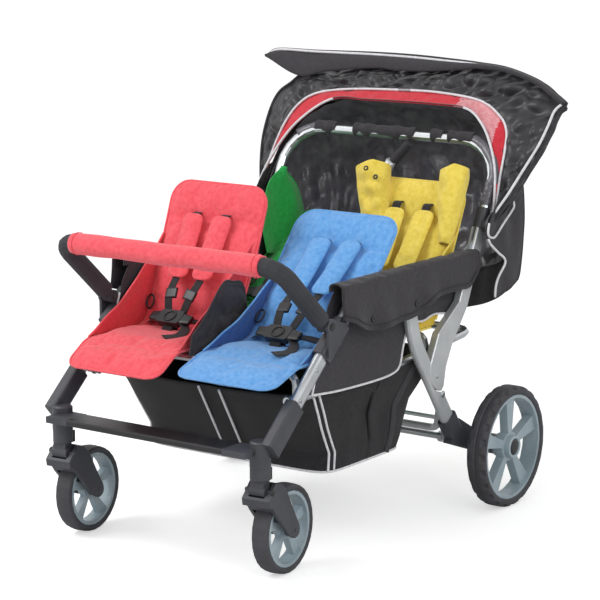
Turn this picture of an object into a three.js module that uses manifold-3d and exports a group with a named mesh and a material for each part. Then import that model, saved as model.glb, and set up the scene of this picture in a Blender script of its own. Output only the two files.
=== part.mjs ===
// A four-seat daycare stroller: front frame, swivel castors, rear frame, folding handle, four seats,
// basket and hood. Millimetres, +Z up, the front faces -Y, left is -X.
import * as THREE from 'three';
import { mergeVertices } from 'three/addons/utils/BufferGeometryUtils.js';
import Module from 'manifold-3d';

const wasm = await Module();
wasm.setup();

// Driving dimensions of the whole stroller
const wheelbase = 669;
const front_track = 503;
const rear_track = 715;
const frame_spread = 550;
const armrest_height = 541;
const rail_height = 342;
const seat_height = 411;
const leg_slope = THREE.MathUtils.degToRad(41.6);
const handle_lean = THREE.MathUtils.degToRad(24);
const castor_turn = THREE.MathUtils.degToRad(4.5);
const fit_gap = 0.3;
const run_gap = 0.6;
const overrun = 2;

// Wheels
const front_wheel = { radius: 90.4, rim: 76.4, width: 38, groove: 2.5, hub: 15, bore: 4.6, web: 15 };
const rear_wheel = { radius: 132.5, rim: 114.3, width: 45, groove: 3, hub: 25, bore: 7.6, web: 20 };
const rim_wall = 7;
const spoke_count = 5;
const tyre_profile_shares = [[0, -0.42], [0.55, -0.5], [0.87, -0.43], [1, -0.14], [1, 0.14], [0.87, 0.43],
  [0.55, 0.5], [0, 0.42]];
const spoke_half_width_share = 0.07;
const spoke_flare_share = 0.15;

// Castors: everything below the housing
const trail = 82;
const housing = { radius: 21, bottom: 234, height: 51, edge: 3, stem_bore: 6.6 };
const yoke = { radius: 20.5, bottom: 207, stem: 6, stem_length: 30, neck_width: 30, neck_depth: 22 };
const fork_pivot = { back: 2, height: 186, barrel: 13.5, barrel_width: 35, bore: 4.3, pin: 4 };
const fork = { width: 62, inner: 44, tyre_gap: 4, eye: 17, foot: 16, edge: 1.5 };
const fork_crown_shares = [[-1.13, 1.9], [-1.1, 1.74], [-0.93, 1.69], [-0.83, 1.56], [-0.56, 1.27],
  [-0.27, 0.93]];
const fork_back_shares = [[0.15, 1.1], [-0.03, 1.4], [-0.25, 1.78], [-0.38, 2.02], [-0.56, 2.17],
  [-0.8, 2.22]];
const lock_tab = { width: 16, depth: 10, height: 24, bottom: 203 };

// Front frame
const leg_tube = { depth: 32, width: 18, round: 7 };
const leg_reach = 42;
const leg_line = { y: 42, z: 379 };
const armrest_bend = 62;
const armrest_rear = 600;
const tongue = { width: 6, half_height: 12, eye: 14 };
const handle_pivot = { y: 668, rise: 27, pin: 4, bore: 4.3, slot_radius: 46 };
const rear_pivot = { y: 399, drop: 36, ear: 15, ear_width: 2.6, pin: 4, bore: 4.3 };
const socket = { depth: 41, width: 27, round: 6, overlap: 52 };
const crossbar = { depth: 63, thick: 13, top: 271, front: 133, edge: 3 };
const bracket = { wall: 4, length: 34 };
const rail = { radius: 9, spread: 492, front: 12, rear: 700, rise: 28, bend: 34 };
const hoop = { radius: 8, bend: 22 };
const hoop_places = { front: 45, front_bight: 180, rear: 372, rear_bight: 514 };

// Bumper bar and its brackets
const bumper = { reach: 153, height: 136, bend: 42, foam: 19, sleeve: 22.3, sleeve_half: 236, core: 9,
  knuckle: 13.5,
  foam_start: 22 };
const bumper_pivot = { y: 100, z: 482, pin: 4, bore: 4.3 };
const bumper_clamp = { depth: 40, width: 27, start: 88, end: 156, ear: 16, ear_width: 6, button: 7.5,
  press: 2 };

// Seats
const seat = { width: 244, thick: 12, pitch: 277, length: 335, back_thick: 14, hinge_gap: 15, round: 38 };
const bight = { front: 196, rear: 530, pivot_lift: 2 };
const flap_run_share = 0.4;
const wing = { thick: 4, inset: 1, share: 0.7, reach: 118 };
const pad = { width: 40, thick: 9, apart: 58, share: 0.52, start_share: 0.3 };
const buckle = { width: 58, height: 36, thick: 15, strap: 24, lift: 26, ahead: 56, button: 9, press: 2.5,
  lean: 35 };
const recline = { red: 20, blue: 40, yellow: 25, green: 54 };
const seat_nose = { red: -62, blue: -54, yellow: 262, green: 262 };
const seat_fold = { red: 4, blue: 34, yellow: 350, green: 350 };
const flap_drop = { red: 42, blue: 30, yellow: 40, green: 40 };

// Soft parts below the armrests
const cover = { inner: 260.8, outer: 298, thick: 3, rise: 20.6, hem_drop: 87, front: 132, rear: 646,
  roof_rear: 606 };
const cover_lead_share = 0.05;
const cover_hem_shares = [[0, 0.53], [0.04, 0.4], [0.19, 0.06], [0.36, 0], [0.52, 0.06], [0.585, 0.22],
  [0.7, 0.28], [0.93, 0.31], [1, 0.6]];
const panel_edge_shares = [[-0.09, 0], [0.46, 0], [0.56, 0.22], [0.9, 0.52], [1, 0.8]];
const basket = { wall: 3, half_top: 252, half_bottom: 233, bottom: 157, knee_rise: 84 };
const basket_side_shares = { front_top: 30, front_foot: 160, rear_foot: 446, rear_knee: 486, rear_top: 628 };
const divider = { thick: 6 };
const divider_shares = [[-0.12, 0], [0, 0.2], [0.5, 0.85], [0.72, 1], [1.08, 1], [1.12, 0.86], [0.86, 0]];

// Rear frame
const rear_leg = { depth: 36, width: 18, bend: 230, knee_y: 421, knee_z: 398, foot_y: 574, foot_z: 182 };
const link_lobe = { y: 526, z: 322, radius: 50, gap: 2.6 };
const hub_bracket = { width: 27, sleeve_depth: 44, grip: 30, boss: 22, stub: 7, plate: 20 };
const hub_arm = { back: 14, drop: 34, front: 20, rise: 16 };
const axle_tube = { radius: 7.5, y: 653, z: 134, socket: 4 };
const cross_tube = { radius: 8, y: 587, z: 170, bend: 26, half: 232, leg_y: 540, leg_z: 238 };
const brake = { bar: 5, eye: 12.5, eye_width: 12, reach: 58, rise: 24, half: 205, pad: 70 };

// Handle and hood
const link = { depth: 34, width: 18, edge: 2 };
const clamp_place = { y: 679, rise: 58 };
const handle = { radius: 11, spread: 566, height: 196, bend: 96, foot_inset: 7 };
const clamp = { radius: 15, length: 46, boss: 14, pivot: 8, flange: 32, flange_width: 4 };
const strut = { radius: 11, low_y: 741, low_rise: 162, top_x: 50, tilt_share: 0.72 };
const hood = { half: 316, height: 290, wall: 3, start: 26, lean: 25, square: 2.8, side: 308 };
const hood_arc_steps = 22;
const hood_lean_shares = [0, 0.18, 0.4, 0.58, 0.74, 0.88, 1];
const hood_reach_shares = [1, 1.03, 1.03, 0.97, 0.88, 0.82, 0.8];
const hood_turn = 103;
const curtain = { drop: 104, front: 634, rear: 868, foot_back: 120, rear_rise: 30 };
const skirt_lead_share = 1.2;
const skirt_drop_share = 2.5;
const skirt_reach_share = 0.72;
const visor_start_share = 0.035;
const visor = { half: 433, height: 378, lean: 28.5, gap: 1, wall: 3, square: 7, waist_share: 0.78,
  straight: 330 };

// Heights that follow the armrest
handle_pivot.z = armrest_height + handle_pivot.rise;
rear_pivot.z = armrest_height - rear_pivot.drop;
cover.top = armrest_height + cover.rise;
clamp_place.z = armrest_height + clamp_place.rise;
strut.low_z = armrest_height + strut.low_rise;
curtain.bottom = armrest_height - curtain.drop;

const X = new THREE.Vector3(1, 0, 0);
const Y = new THREE.Vector3(0, 1, 0);
const Z = new THREE.Vector3(0, 0, 1);
const sides = [{ name: 'left', sign: -1 }, { name: 'right', sign: 1 }];
const half_turn = Math.PI;
const deg = THREE.MathUtils.degToRad;
const side_plane = new THREE.Matrix4().makeBasis(Y, Z, X);

// Finishes
const finish = (color, roughness, metalness = 0) => new THREE.MeshStandardMaterial({ color, roughness,
  metalness });
const finishes = {
  alloy: () => finish(0xc3c7c9, 0.38, 0.9),
  black_plastic: () => finish(0x2b2c30, 0.55),
  foam: () => finish(0x303236, 0.85),
  tyre: () => finish(0x34353a, 0.8),
  rim: () => finish(0x92a2ab, 0.5),
  black_fabric: () => finish(0x26262a, 0.9),
  red: () => finish(0xe8343f, 0.85),
  blue: () => finish(0x2f79cf, 0.85),
  yellow: () => finish(0xe3bf2c, 0.85),
  green: () => finish(0x1d8a34, 0.85),
};

const stroller = new THREE.Group();

function place(name, geometry, material, group = stroller) {
  const mesh = new THREE.Mesh(geometry, material());
  mesh.name = name;
  group.add(mesh);
  return mesh;
}

// Solids
function solid(geometry) {
  const bare = new THREE.BufferGeometry();
  const source = geometry.index ? geometry.toNonIndexed() : geometry;
  bare.setAttribute('position', source.getAttribute('position').clone());
  const merged = mergeVertices(bare, 1e-3);
  return new wasm.Manifold(new wasm.Mesh({
    numProp: 3,
    vertProperties: new Float32Array(merged.getAttribute('position').array),
    triVerts: new Uint32Array(merged.index.array),
  }));
}

function geometryOf(body) {
  const mesh = body.getMesh();
  const geometry = new THREE.BufferGeometry();
  geometry.setAttribute('position', new THREE.BufferAttribute(mesh.vertProperties, 3));
  geometry.setIndex(new THREE.BufferAttribute(mesh.triVerts, 1));
  return geometry;
}

const join = (...bodies) => bodies.reduce((all, body) => all.add(body));
const cut = (body, ...tools) => tools.reduce((rest, tool) => rest.subtract(tool), body);

function moved(geometry, x, y, z) {
  return geometry.translate(x, y, z);
}

// A closed outline in the side view (y, z), as wide as width, centred on x
function sidePlate(outline, width, x, edge = 0) {
  const shape = outline instanceof THREE.Shape ? outline : new THREE.Shape(outline);
  const geometry = new THREE.ExtrudeGeometry(shape, {
    depth: width - 2 * edge,
    bevelEnabled: edge > 0,
    bevelThickness: edge,
    bevelSize: edge,
    bevelOffset: -edge,
    bevelSegments: 1,
    curveSegments: 10,
  });
  geometry.translate(0, 0, edge - width / 2);
  geometry.applyMatrix4(side_plane);
  return geometry.translate(x, 0, 0);
}

const points = (pairs) => pairs.map(([a, b]) => new THREE.Vector2(a, b));

function arcPoints(y, z, radius, from, to, steps = 8) {
  return Array.from({ length: steps + 1 }, (_, i) => {
    const angle = from + (to - from) * i / steps;
    return new THREE.Vector2(y + radius * Math.cos(angle), z + radius * Math.sin(angle));
  });
}

// A cylinder along X
function crossPin(radius, length, x, y, z, segments = 12) {
  return new THREE.CylinderGeometry(radius, radius, length, segments).rotateZ(half_turn / 2).translate(x, y,
    z);
}

// A revolved shape: pairs of radius and height, turned about Z
function turned(pairs, segments = 24) {
  return new THREE.LatheGeometry(points(pairs), segments).rotateX(half_turn / 2);
}

function block(width, depth, height, x, y, z) {
  return new THREE.BoxGeometry(width, depth, height).translate(x, y, z);
}

// A route through corner points, each corner rounded by its own radius, sampled only where it bends
class Route extends THREE.Curve {
  constructor(corners, bends, bendSteps = 5) {
    super();
    this.stations = [corners[0]];
    for (let i = 1; i < corners.length - 1; i += 1) {
      this.stations.push(...Route.corner(corners[i - 1], corners[i], corners[i + 1], bends[i - 1],
        bendSteps));
    }
    this.stations.push(corners[corners.length - 1]);
  }

  static corner(before, at, after, radius, steps) {
    const back = before.clone().sub(at).normalize();
    const ahead = after.clone().sub(at).normalize();
    const half = back.angleTo(ahead) / 2;
    const reach = radius / Math.tan(half);
    const centre = back.clone().add(ahead).normalize().multiplyScalar(radius / Math.sin(half)).add(at);
    const start = at.clone().addScaledVector(back, reach).sub(centre);
    const end = at.clone().addScaledVector(ahead, reach).sub(centre);
    const axis = start.clone().cross(end).normalize();
    const sweep = start.angleTo(end);
    return Array.from({ length: steps + 1 }, (_, i) => start.clone().applyAxisAngle(axis,
      sweep * i / steps).add(centre));
  }

  get steps() {
    return this.stations.length - 1;
  }

  getPoint(t) {
    return this.stations[Math.round(t * this.steps)].clone();
  }

  getPointAt(u) {
    return this.getPoint(u);
  }

  getSpacedPoints() {
    return this.stations.map((station) => station.clone());
  }

  getTangentAt(u) {
    const i = Math.round(u * this.steps);
    const ahead = this.stations[Math.min(i + 1, this.steps)].clone().sub(this.stations[i]).normalize();
    const behind = this.stations[i].clone().sub(this.stations[Math.max(i - 1, 0)]).normalize();
    return ahead.add(behind).normalize();
  }
}

function sweep(section, route) {
  return new THREE.ExtrudeGeometry(section, {
    steps: route.steps,
    bevelEnabled: false,
    extrudePath: route,
    curveSegments: 4,
  });
}

function roundSection(radius, count = 14) {
  const angles = Array.from({ length: count }, (_, i) => 2 * half_turn * i / count);
  return new THREE.Shape(angles.map((a) => new THREE.Vector2(radius * Math.cos(a), radius * Math.sin(a))));
}

// A box section with round corners; its first side lies along X on a route in the side view
function boxSection(width, depth, round) {
  const w = width / 2 - round;
  const d = depth / 2 - round;
  const corners = [[w, d, 0], [-w, d, 1], [-w, -d, 2], [w, -d, 3]];
  return new THREE.Shape(corners.flatMap(([cx, cy, quarter]) => arcPoints(
    cx, cy, round, quarter * half_turn / 2, (quarter + 1) * half_turn / 2, 2)));
}

const tube = (corners, bends, radius, count = 12, bend_steps = 4) => sweep(
  roundSection(radius, count), new Route(corners, bends, bend_steps));
const at = (x, y, z) => new THREE.Vector3(x, y, z);

// A closed sheet: the outer and inner grids of points, joined along all four edges
function sheet(outer, inner) {
  const rows = outer.length;
  const columns = outer[0].length;
  const position = [...outer.flat(), ...inner.flat()].flatMap((p) => [p.x, p.y, p.z]);
  const index = [];
  const offset = rows * columns;
  const quad = (a, b, c, d) => index.push(a, b, c, a, c, d);
  for (let i = 0; i < rows - 1; i += 1) {
    for (let j = 0; j < columns - 1; j += 1) {
      const k = i * columns + j;
      quad(k, k + columns, k + columns + 1, k + 1);
      quad(offset + k, offset + k + 1, offset + k + columns + 1, offset + k + columns);
    }
  }
  const wall = (a, b) => quad(a, b, b + offset, a + offset);
  for (let j = 0; j < columns - 1; j += 1) {
    wall(j, j + 1);
    wall((rows - 1) * columns + j + 1, (rows - 1) * columns + j);
  }
  for (let i = 0; i < rows - 1; i += 1) {
    wall((i + 1) * columns, i * columns);
    wall(i * columns + columns - 1, (i + 1) * columns + columns - 1);
  }
  const geometry = new THREE.BufferGeometry();
  geometry.setAttribute('position', new THREE.Float32BufferAttribute(position, 3));
  geometry.setIndex(index);
  return geometry;
}

function outward(geometry) {
  const body = solid(geometry);
  if (body.volume() > 0) {
    return geometry;
  }
  const index = geometry.index.array;
  for (let i = 0; i < index.length; i += 3) {
    [index[i], index[i + 1]] = [index[i + 1], index[i]];
  }
  return geometry;
}

// Wheels, each about its own axle at the origin
function tyreGeometry(wheel) {
  const inner = wheel.rim + fit_gap;
  const height = wheel.radius - inner;
  const profile = tyre_profile_shares.map(([r, w]) => [inner + r * height, w * wheel.width]);
  profile.push(profile[0]);
  return turned(profile, 28).rotateY(half_turn / 2);
}

function spokeWindow(wheel, turn) {
  const inner = wheel.hub + rim_wall;
  const outer = wheel.rim - rim_wall;
  const share = half_turn / spoke_count;
  const near = spoke_half_width_share * wheel.rim;
  const far = spoke_flare_share * wheel.rim;
  const low = share - Math.asin(near / inner);
  const high = share - Math.asin(far / outer);
  const edge = [...arcPoints(0, 0, inner, turn - low, turn + low, 2),
    ...arcPoints(0, 0, outer, turn + high, turn - high, 4)];
  return new THREE.Path(edge);
}

function rimGeometry(wheel) {
  const disc = new THREE.Shape(arcPoints(0, 0, wheel.rim - rim_wall / 2, 0, 2 * half_turn, 28).slice(0, -1));
  for (let i = 0; i < spoke_count; i += 1) {
    disc.holes.push(spokeWindow(wheel, (2 * i + 1) * half_turn / spoke_count + half_turn / 2));
  }
  const web = solid(sidePlate(disc, wheel.web, 0));
  const half = wheel.width * 0.42;
  const ring = solid(turned([[wheel.rim - rim_wall, -half], [wheel.rim, -half], [wheel.rim, half],
    [wheel.rim - rim_wall, half], [wheel.rim - rim_wall, -half]], 28)
    .rotateY(half_turn / 2));
  const hub = solid(crossPin(wheel.hub, wheel.width - 2 * overrun, 0, 0, 0, 16));
  const bore = solid(crossPin(wheel.bore, wheel.width + overrun, 0, 0, 0));
  return geometryOf(cut(join(web, ring, hub), bore));
}

// Front castor, drawn about its swivel axis, front wheel behind it
function castor(side) {
  const turntable = new THREE.Group();
  turntable.position.set(side.sign * front_track / 2, -trail, 0);
  turntable.rotation.z = castor_turn;
  stroller.add(turntable);
  const pivot = { y: -fork_pivot.back, z: fork_pivot.height };
  const axle = { y: trail, z: front_wheel.radius };

  const stem = solid(turned([[0, yoke.bottom], [yoke.radius - overrun, yoke.bottom],
    [yoke.radius, yoke.bottom + overrun],
    [yoke.radius, housing.bottom - fit_gap], [yoke.stem, housing.bottom - fit_gap],
    [yoke.stem, housing.bottom + yoke.stem_length], [0, housing.bottom + yoke.stem_length]]));
  const neck = solid(block(yoke.neck_width, yoke.neck_depth, yoke.bottom + overrun - pivot.z,
    0, pivot.y, (yoke.bottom + overrun + pivot.z) / 2));
  const barrel = solid(crossPin(fork_pivot.barrel, fork_pivot.barrel_width, 0, pivot.y, pivot.z));
  const barrel_bore = solid(crossPin(fork_pivot.bore, fork_pivot.barrel_width + overrun, 0, pivot.y,
    pivot.z));
  place(`castor_yoke_${side.name}`, geometryOf(cut(join(stem, neck, barrel), barrel_bore)),
    finishes.black_plastic, turntable);

  const r = front_wheel.radius;
  const scaled = (pairs) => pairs.map(([a, b]) => new THREE.Vector2(axle.y + a * r, b * r));
  const outline = [...scaled(fork_crown_shares), ...arcPoints(axle.y, axle.z, fork.foot, -half_turn * 0.75,
    half_turn * 0.2),
    ...scaled(fork_back_shares)];
  const legs = solid(sidePlate(outline, fork.width, 0, fork.edge));
  const wheel_space = solid(crossPin(r + fork.tyre_gap, fork.inner, 0, axle.y, axle.z, 28));
  const barrel_space = solid(crossPin(fork_pivot.barrel + 2 * overrun,
    fork_pivot.barrel_width + 2 * run_gap, 0, pivot.y, pivot.z));
  const neck_space = solid(block(fork.inner, 3 * yoke.neck_depth, fork_pivot.barrel * 3,
    0, pivot.y, pivot.z + fork_pivot.barrel * 1.5));
  const pin = solid(crossPin(fork_pivot.pin, fork.width + overrun, 0, pivot.y, pivot.z));
  const axle_pin = solid(crossPin(front_wheel.bore - fit_gap, fork.width + overrun, 0, axle.y, axle.z));
  place(`fork_${side.name}`, geometryOf(join(cut(legs, wheel_space, barrel_space, neck_space), pin,
    axle_pin)),
    finishes.black_plastic, turntable);

  const tyre = place(`front_tyre_${side.name}`, tyreGeometry(front_wheel), finishes.tyre, turntable);
  tyre.position.set(0, axle.y, axle.z);
  const rim = place(`front_rim_${side.name}`, rimGeometry(front_wheel), finishes.rim, turntable);
  rim.position.set(0, axle.y, axle.z);

  const tab = block(lock_tab.width, lock_tab.depth, lock_tab.height,
    0, yoke.radius + fit_gap + lock_tab.depth / 2, lock_tab.bottom + lock_tab.height / 2);
  place(`swivel_lock_${side.name}`, tab, finishes.black_plastic, turntable);
}

// The front leg runs up at its slope from the housing and bends into the armrest
const leg_foot = { y: -trail + leg_reach };
leg_foot.z = leg_line.z - (leg_line.y - leg_foot.y) * Math.tan(leg_slope);
const legHeight = (y) => leg_foot.z + (y - leg_foot.y) * Math.tan(leg_slope);
const legY = (z) => leg_foot.y + (z - leg_foot.z) / Math.tan(leg_slope);
const frame_x = frame_spread / 2;

const legPoint = (side, y) => at(side.sign * frame_x, y, legHeight(y));

function sideFrame(side) {
  const x = side.sign * frame_x;
  const corner_y = legY(armrest_height);
  const route = new Route([at(x, leg_foot.y, leg_foot.z), at(x, corner_y, armrest_height),
    at(x, armrest_rear, armrest_height)], [armrest_bend]);
  const bar = solid(sweep(boxSection(leg_tube.width, leg_tube.depth, leg_tube.round), route));
  const eye = { y: handle_pivot.y, z: handle_pivot.z };
  const rise = Math.atan2(eye.z - armrest_height, eye.y - armrest_rear);
  const tail = armrest_rear - leg_tube.depth;
  const strip = solid(sidePlate([
    ...points([[tail, armrest_height - tongue.half_height],
      [armrest_rear, armrest_height - tongue.half_height]]),
    ...arcPoints(eye.y, eye.z, tongue.eye, rise - half_turn / 2, rise + half_turn / 2),
    ...points([[armrest_rear, armrest_height + tongue.half_height],
      [tail, armrest_height + tongue.half_height]]),
  ], tongue.width, x));
  const handle_bore = solid(crossPin(handle_pivot.bore, leg_tube.width, x, eye.y, eye.z));
  const ear_x = rear_leg.width / 2 + fit_gap + rear_pivot.ear_width / 2;
  const ear = (offset) => solid(sidePlate([
    ...arcPoints(rear_pivot.y, rear_pivot.z, rear_pivot.ear, half_turn, 2 * half_turn),
    ...points([[rear_pivot.y + rear_pivot.ear, armrest_height],
      [rear_pivot.y - rear_pivot.ear, armrest_height]]),
  ], rear_pivot.ear_width, x + offset));
  const saddle = solid(block(2 * ear_x, 2 * rear_pivot.ear, overrun * 2, x, rear_pivot.y,
    armrest_height - overrun));
  const pin = solid(crossPin(rear_pivot.pin, 2 * ear_x + rear_pivot.ear_width, x, rear_pivot.y,
    rear_pivot.z));
  place(`side_frame_${side.name}`, geometryOf(join(cut(join(bar, strip), handle_bore), ear(-ear_x),
    ear(ear_x), saddle, pin)),
    finishes.alloy);
}

// The board is flush with the brackets; a thinner tongue at each end goes into them
const tongue_depth = crossbar.depth - 2 * bracket.wall;
const tongue_thick = crossbar.thick - 2 * bracket.wall;

function castorHousing(side) {
  const swivel_x = side.sign * front_track / 2;
  const x = side.sign * frame_x;
  const top = housing.bottom + housing.height;
  const body = solid(turned([[0, housing.bottom], [housing.radius, housing.bottom],
    [housing.radius, top - housing.edge],
    [housing.radius - housing.edge, top], [0, top]]).translate(swivel_x, -trail, 0));
  const along = at(0, Math.cos(leg_slope), Math.sin(leg_slope));
  const mouth = at(x, leg_foot.y, leg_foot.z).addScaledVector(along, socket.overlap);
  const root_point = mouth.clone().addScaledVector(along, -socket.overlap - housing.radius * 2.8);
  const sleeve = solid(sweep(boxSection(socket.width, socket.depth, socket.round),
    new Route([root_point, mouth], [])));
  const pocket_start = at(x, leg_foot.y, leg_foot.z).addScaledVector(along, -fit_gap);
  const pocket_end = mouth.clone().addScaledVector(along, overrun);
  const pocket = solid(sweep(boxSection(leg_tube.width + 2 * fit_gap, leg_tube.depth + 2 * fit_gap,
    leg_tube.round),
    new Route([pocket_start, pocket_end], [])));
  const bar_y = -crossbar.front + crossbar.depth / 2;
  const bar_z = crossbar.top - crossbar.thick / 2;
  const inner_x = swivel_x - side.sign * (housing.radius + bracket.length);
  const width = Math.abs(swivel_x - inner_x);
  const middle = (swivel_x + inner_x) / 2;
  const case_block = solid(block(width, crossbar.depth, crossbar.thick, middle, bar_y, bar_z));
  const bar_space = solid(block(2 * front_track, tongue_depth + 2 * fit_gap, tongue_thick + 2 * fit_gap,
    side.sign * (swivel_x * side.sign - housing.radius - bracket.wall - front_track + fit_gap),
    bar_y, bar_z));
  const bore = solid(turned([[0, housing.bottom - overrun], [housing.stem_bore, housing.bottom - overrun],
    [housing.stem_bore, housing.bottom + yoke.stem_length + overrun], [0,
      housing.bottom + yoke.stem_length + overrun]], 20)
    .translate(swivel_x, -trail, 0));
  const floor_cut = solid(block(6 * housing.radius, 8 * housing.radius, 2 * housing.radius,
    swivel_x, -trail, housing.bottom - housing.radius));
  place(`castor_housing_${side.name}`, geometryOf(cut(join(body, sleeve, cut(case_block, bar_space)),
    pocket, bore, floor_cut)),
    finishes.black_plastic);
}

function frontCrossbar() {
  const half = front_track / 2 - housing.radius - bracket.wall;
  const y = -crossbar.front + crossbar.depth / 2;
  const z = crossbar.top - crossbar.thick / 2;
  const board_half = front_track / 2 - housing.radius - bracket.length - fit_gap;
  const section = boxSection(crossbar.depth, crossbar.thick, crossbar.edge);
  const board = new THREE.ExtrudeGeometry(section, { depth: 2 * board_half, bevelEnabled: false });
  board.applyMatrix4(side_plane).translate(-board_half, y, z);
  const tongues = solid(block(2 * half, tongue_depth, tongue_thick, 0, y, z));
  place('front_crossbar', geometryOf(join(solid(board), tongues)), finishes.black_plastic);
}

const seat_bottom = seat_height - seat.thick;
const hoop_height = seat_bottom - fit_gap - hoop.radius;
const railHeight = (y) => rail_height + rail.rise * Math.max(0,
  (y - hoop_places.rear) / (rail.rear - hoop_places.rear));

// Two rails joined across the back, with a bent hoop under each edge of the seats
function seatFrame() {
  const x = rail.spread / 2;
  const rear = railHeight(rail.rear);
  const rails = solid(tube([at(-x, rail.front, rail_height), at(-x, hoop_places.rear, rail_height),
    at(-x, rail.rear, rear),
    at(x, rail.rear, rear), at(x, hoop_places.rear, rail_height), at(x, rail.front, rail_height)],
  [rail.bend, rail.bend, rail.bend, rail.bend], rail.radius, 10, 3));
  const hoops = Object.values(hoop_places).map((y) => solid(tube([at(-x, y, railHeight(y)),
    at(-x, y, hoop_height),
    at(x, y, hoop_height), at(x, y, railHeight(y))], [hoop.bend, hoop.bend], hoop.radius, 8, 3)));
  const leg_face = frame_x - leg_tube.width / 2 - fit_gap;
  const stubs = sides.map((side) => solid(crossPin(rail.radius, leg_face - x + rail.radius,
    side.sign * (x - rail.radius + leg_face) / 2,
    rail.front + rail.radius, rail_height)));
  place('seat_frame', geometryOf(join(rails, ...hoops, ...stubs)), finishes.alloy);
}

function bumperClamp(side) {
  const x = side.sign * frame_x;
  const start = legPoint(side, bumper_clamp.start);
  const end = legPoint(side, bumper_clamp.end);
  const sleeve = solid(sweep(boxSection(bumper_clamp.width, bumper_clamp.depth, socket.round),
    new Route([start, end], [])));
  const along = end.clone().sub(start).normalize();
  const hole = solid(sweep(boxSection(leg_tube.width + 2 * fit_gap, leg_tube.depth + 2 * fit_gap,
    leg_tube.round),
    new Route([start.clone().addScaledVector(along, -overrun), end.clone().addScaledVector(along, overrun)],
      [])));
  const ear_x = x + side.sign * (bumper_clamp.width / 2 + bumper_clamp.ear_width / 2 - overrun / 2);
  const pivot = bumper_pivot;
  const lean = leg_slope + half_turn / 2;
  const ear = solid(sidePlate([...arcPoints(pivot.y, pivot.z, bumper_clamp.ear, lean - half_turn / 2,
    lean + half_turn / 2, 10),
    new THREE.Vector2(start.y, start.z), new THREE.Vector2(end.y - overrun, end.z)],
  bumper_clamp.ear_width, ear_x));
  const web = solid(block(bumper_clamp.ear_width * 1.5, bumper_clamp.depth / 2, bumper_clamp.depth / 2,
    x + side.sign * bumper_clamp.width / 2, (start.y + end.y) / 2, (start.z + end.z) / 2));
  const pin = solid(crossPin(pivot.pin, bumper_clamp.width + bumper_clamp.ear_width, x, pivot.y, pivot.z));
  const outer = Math.abs(ear_x) + bumper_clamp.ear_width / 2;
  const button_hole = solid(crossPin(bumper_clamp.button + fit_gap, 2 * bumper_clamp.press + overrun,
    side.sign * outer, pivot.y, pivot.z));
  place(`bumper_clamp_${side.name}`, geometryOf(cut(join(cut(join(sleeve, web), hole), ear, pin),
    button_hole)), finishes.black_plastic);
  const cap = crossPin(bumper_clamp.button, bumper_clamp.press,
    side.sign * (outer + bumper_clamp.press / 2 - fit_gap), pivot.y, pivot.z);
  place(`bumper_button_${side.name}`, cap, finishes.black_plastic);
}

function bumperBar() {
  const x = frame_x;
  const front_y = bumper_pivot.y - bumper.reach;
  const front_z = bumper_pivot.z + bumper.height;
  const low = (sign) => at(sign * x, bumper_pivot.y, bumper_pivot.z);
  const route = new Route([low(-1), at(-x, front_y, front_z), at(x, front_y, front_z), low(1)],
    [bumper.bend, bumper.bend], 4);
  const foam = solid(sweep(roundSection(bumper.foam, 12), route));
  const rise = Math.atan2(bumper.height, -bumper.reach);
  const knuckle_width = bumper_clamp.width - 2 * overrun;
  const clearings = [];
  const knuckles = [];
  for (const side of sides) {
    const stub_end = at(side.sign * x, bumper_pivot.y + Math.cos(rise) * 2 * bumper.foam_start,
      bumper_pivot.z + Math.sin(rise) * 2 * bumper.foam_start);
    clearings.push(solid(moved(block(4 * bumper.foam, 4 * bumper.foam, 4 * bumper.foam,
      0, bumper.foam_start - 2 * bumper.foam, 0).rotateX(rise),
      side.sign * x, bumper_pivot.y, bumper_pivot.z)));
    knuckles.push(solid(sweep(roundSection(bumper.knuckle - overrun / 2, 14),
      new Route([low(side.sign), stub_end], []))));
    knuckles.push(solid(crossPin(bumper.knuckle, knuckle_width, side.sign * x, bumper_pivot.y,
      bumper_pivot.z)));
  }
  const bores = sides.map((side) => solid(crossPin(bumper_pivot.bore, 2 * bumper_clamp.width, side.sign * x,
    bumper_pivot.y, bumper_pivot.z)));
  const waist = solid(crossPin(bumper.foam + overrun, 2 * (bumper.sleeve_half + fit_gap), 0, front_y,
    front_z, 24));
  const core = solid(crossPin(bumper.core, 2 * (bumper.sleeve_half + overrun), 0, front_y, front_z, 16));
  place('bumper_bar', geometryOf(cut(join(cut(foam, ...clearings, waist), core, ...knuckles), ...bores)),
    finishes.foam);
  const sleeve = solid(crossPin(bumper.sleeve, 2 * bumper.sleeve_half, 0, front_y, front_z, 24));
  const hollow = solid(crossPin(bumper.core + 2 * fit_gap, 2 * bumper.sleeve_half + overrun, 0, front_y,
    front_z, 16));
  place('bumper_sleeve', geometryOf(cut(sleeve, hollow)), finishes.red);
}

// Seats: one sling, back, buckle and button for each colour
const seats = [
  { colour: 'red', sign: -1, hinge_y: bight.front },
  { colour: 'blue', sign: 1, hinge_y: bight.front },
  { colour: 'green', sign: -1, hinge_y: bight.rear },
  { colour: 'yellow', sign: 1, hinge_y: bight.rear },
];

function seatSling({ colour, sign, hinge_y }) {
  const x = sign * seat.pitch / 2;
  const fold = seat_fold[colour];
  const nose = seat_nose[colour];
  const outline = points([
    [nose, seat_height - flap_drop[colour] - seat.thick],
    [fold + seat.thick * flap_run_share, seat_bottom],
    [hinge_y - seat.hinge_gap, seat_bottom],
    [hinge_y - seat.hinge_gap, seat_height],
    [fold, seat_height],
    [nose - seat.thick * flap_run_share, seat_height - flap_drop[colour]],
  ]);
  place(`seat_${colour}`, sidePlate(outline, seat.width, x, overrun), finishes[colour]);
}

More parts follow.
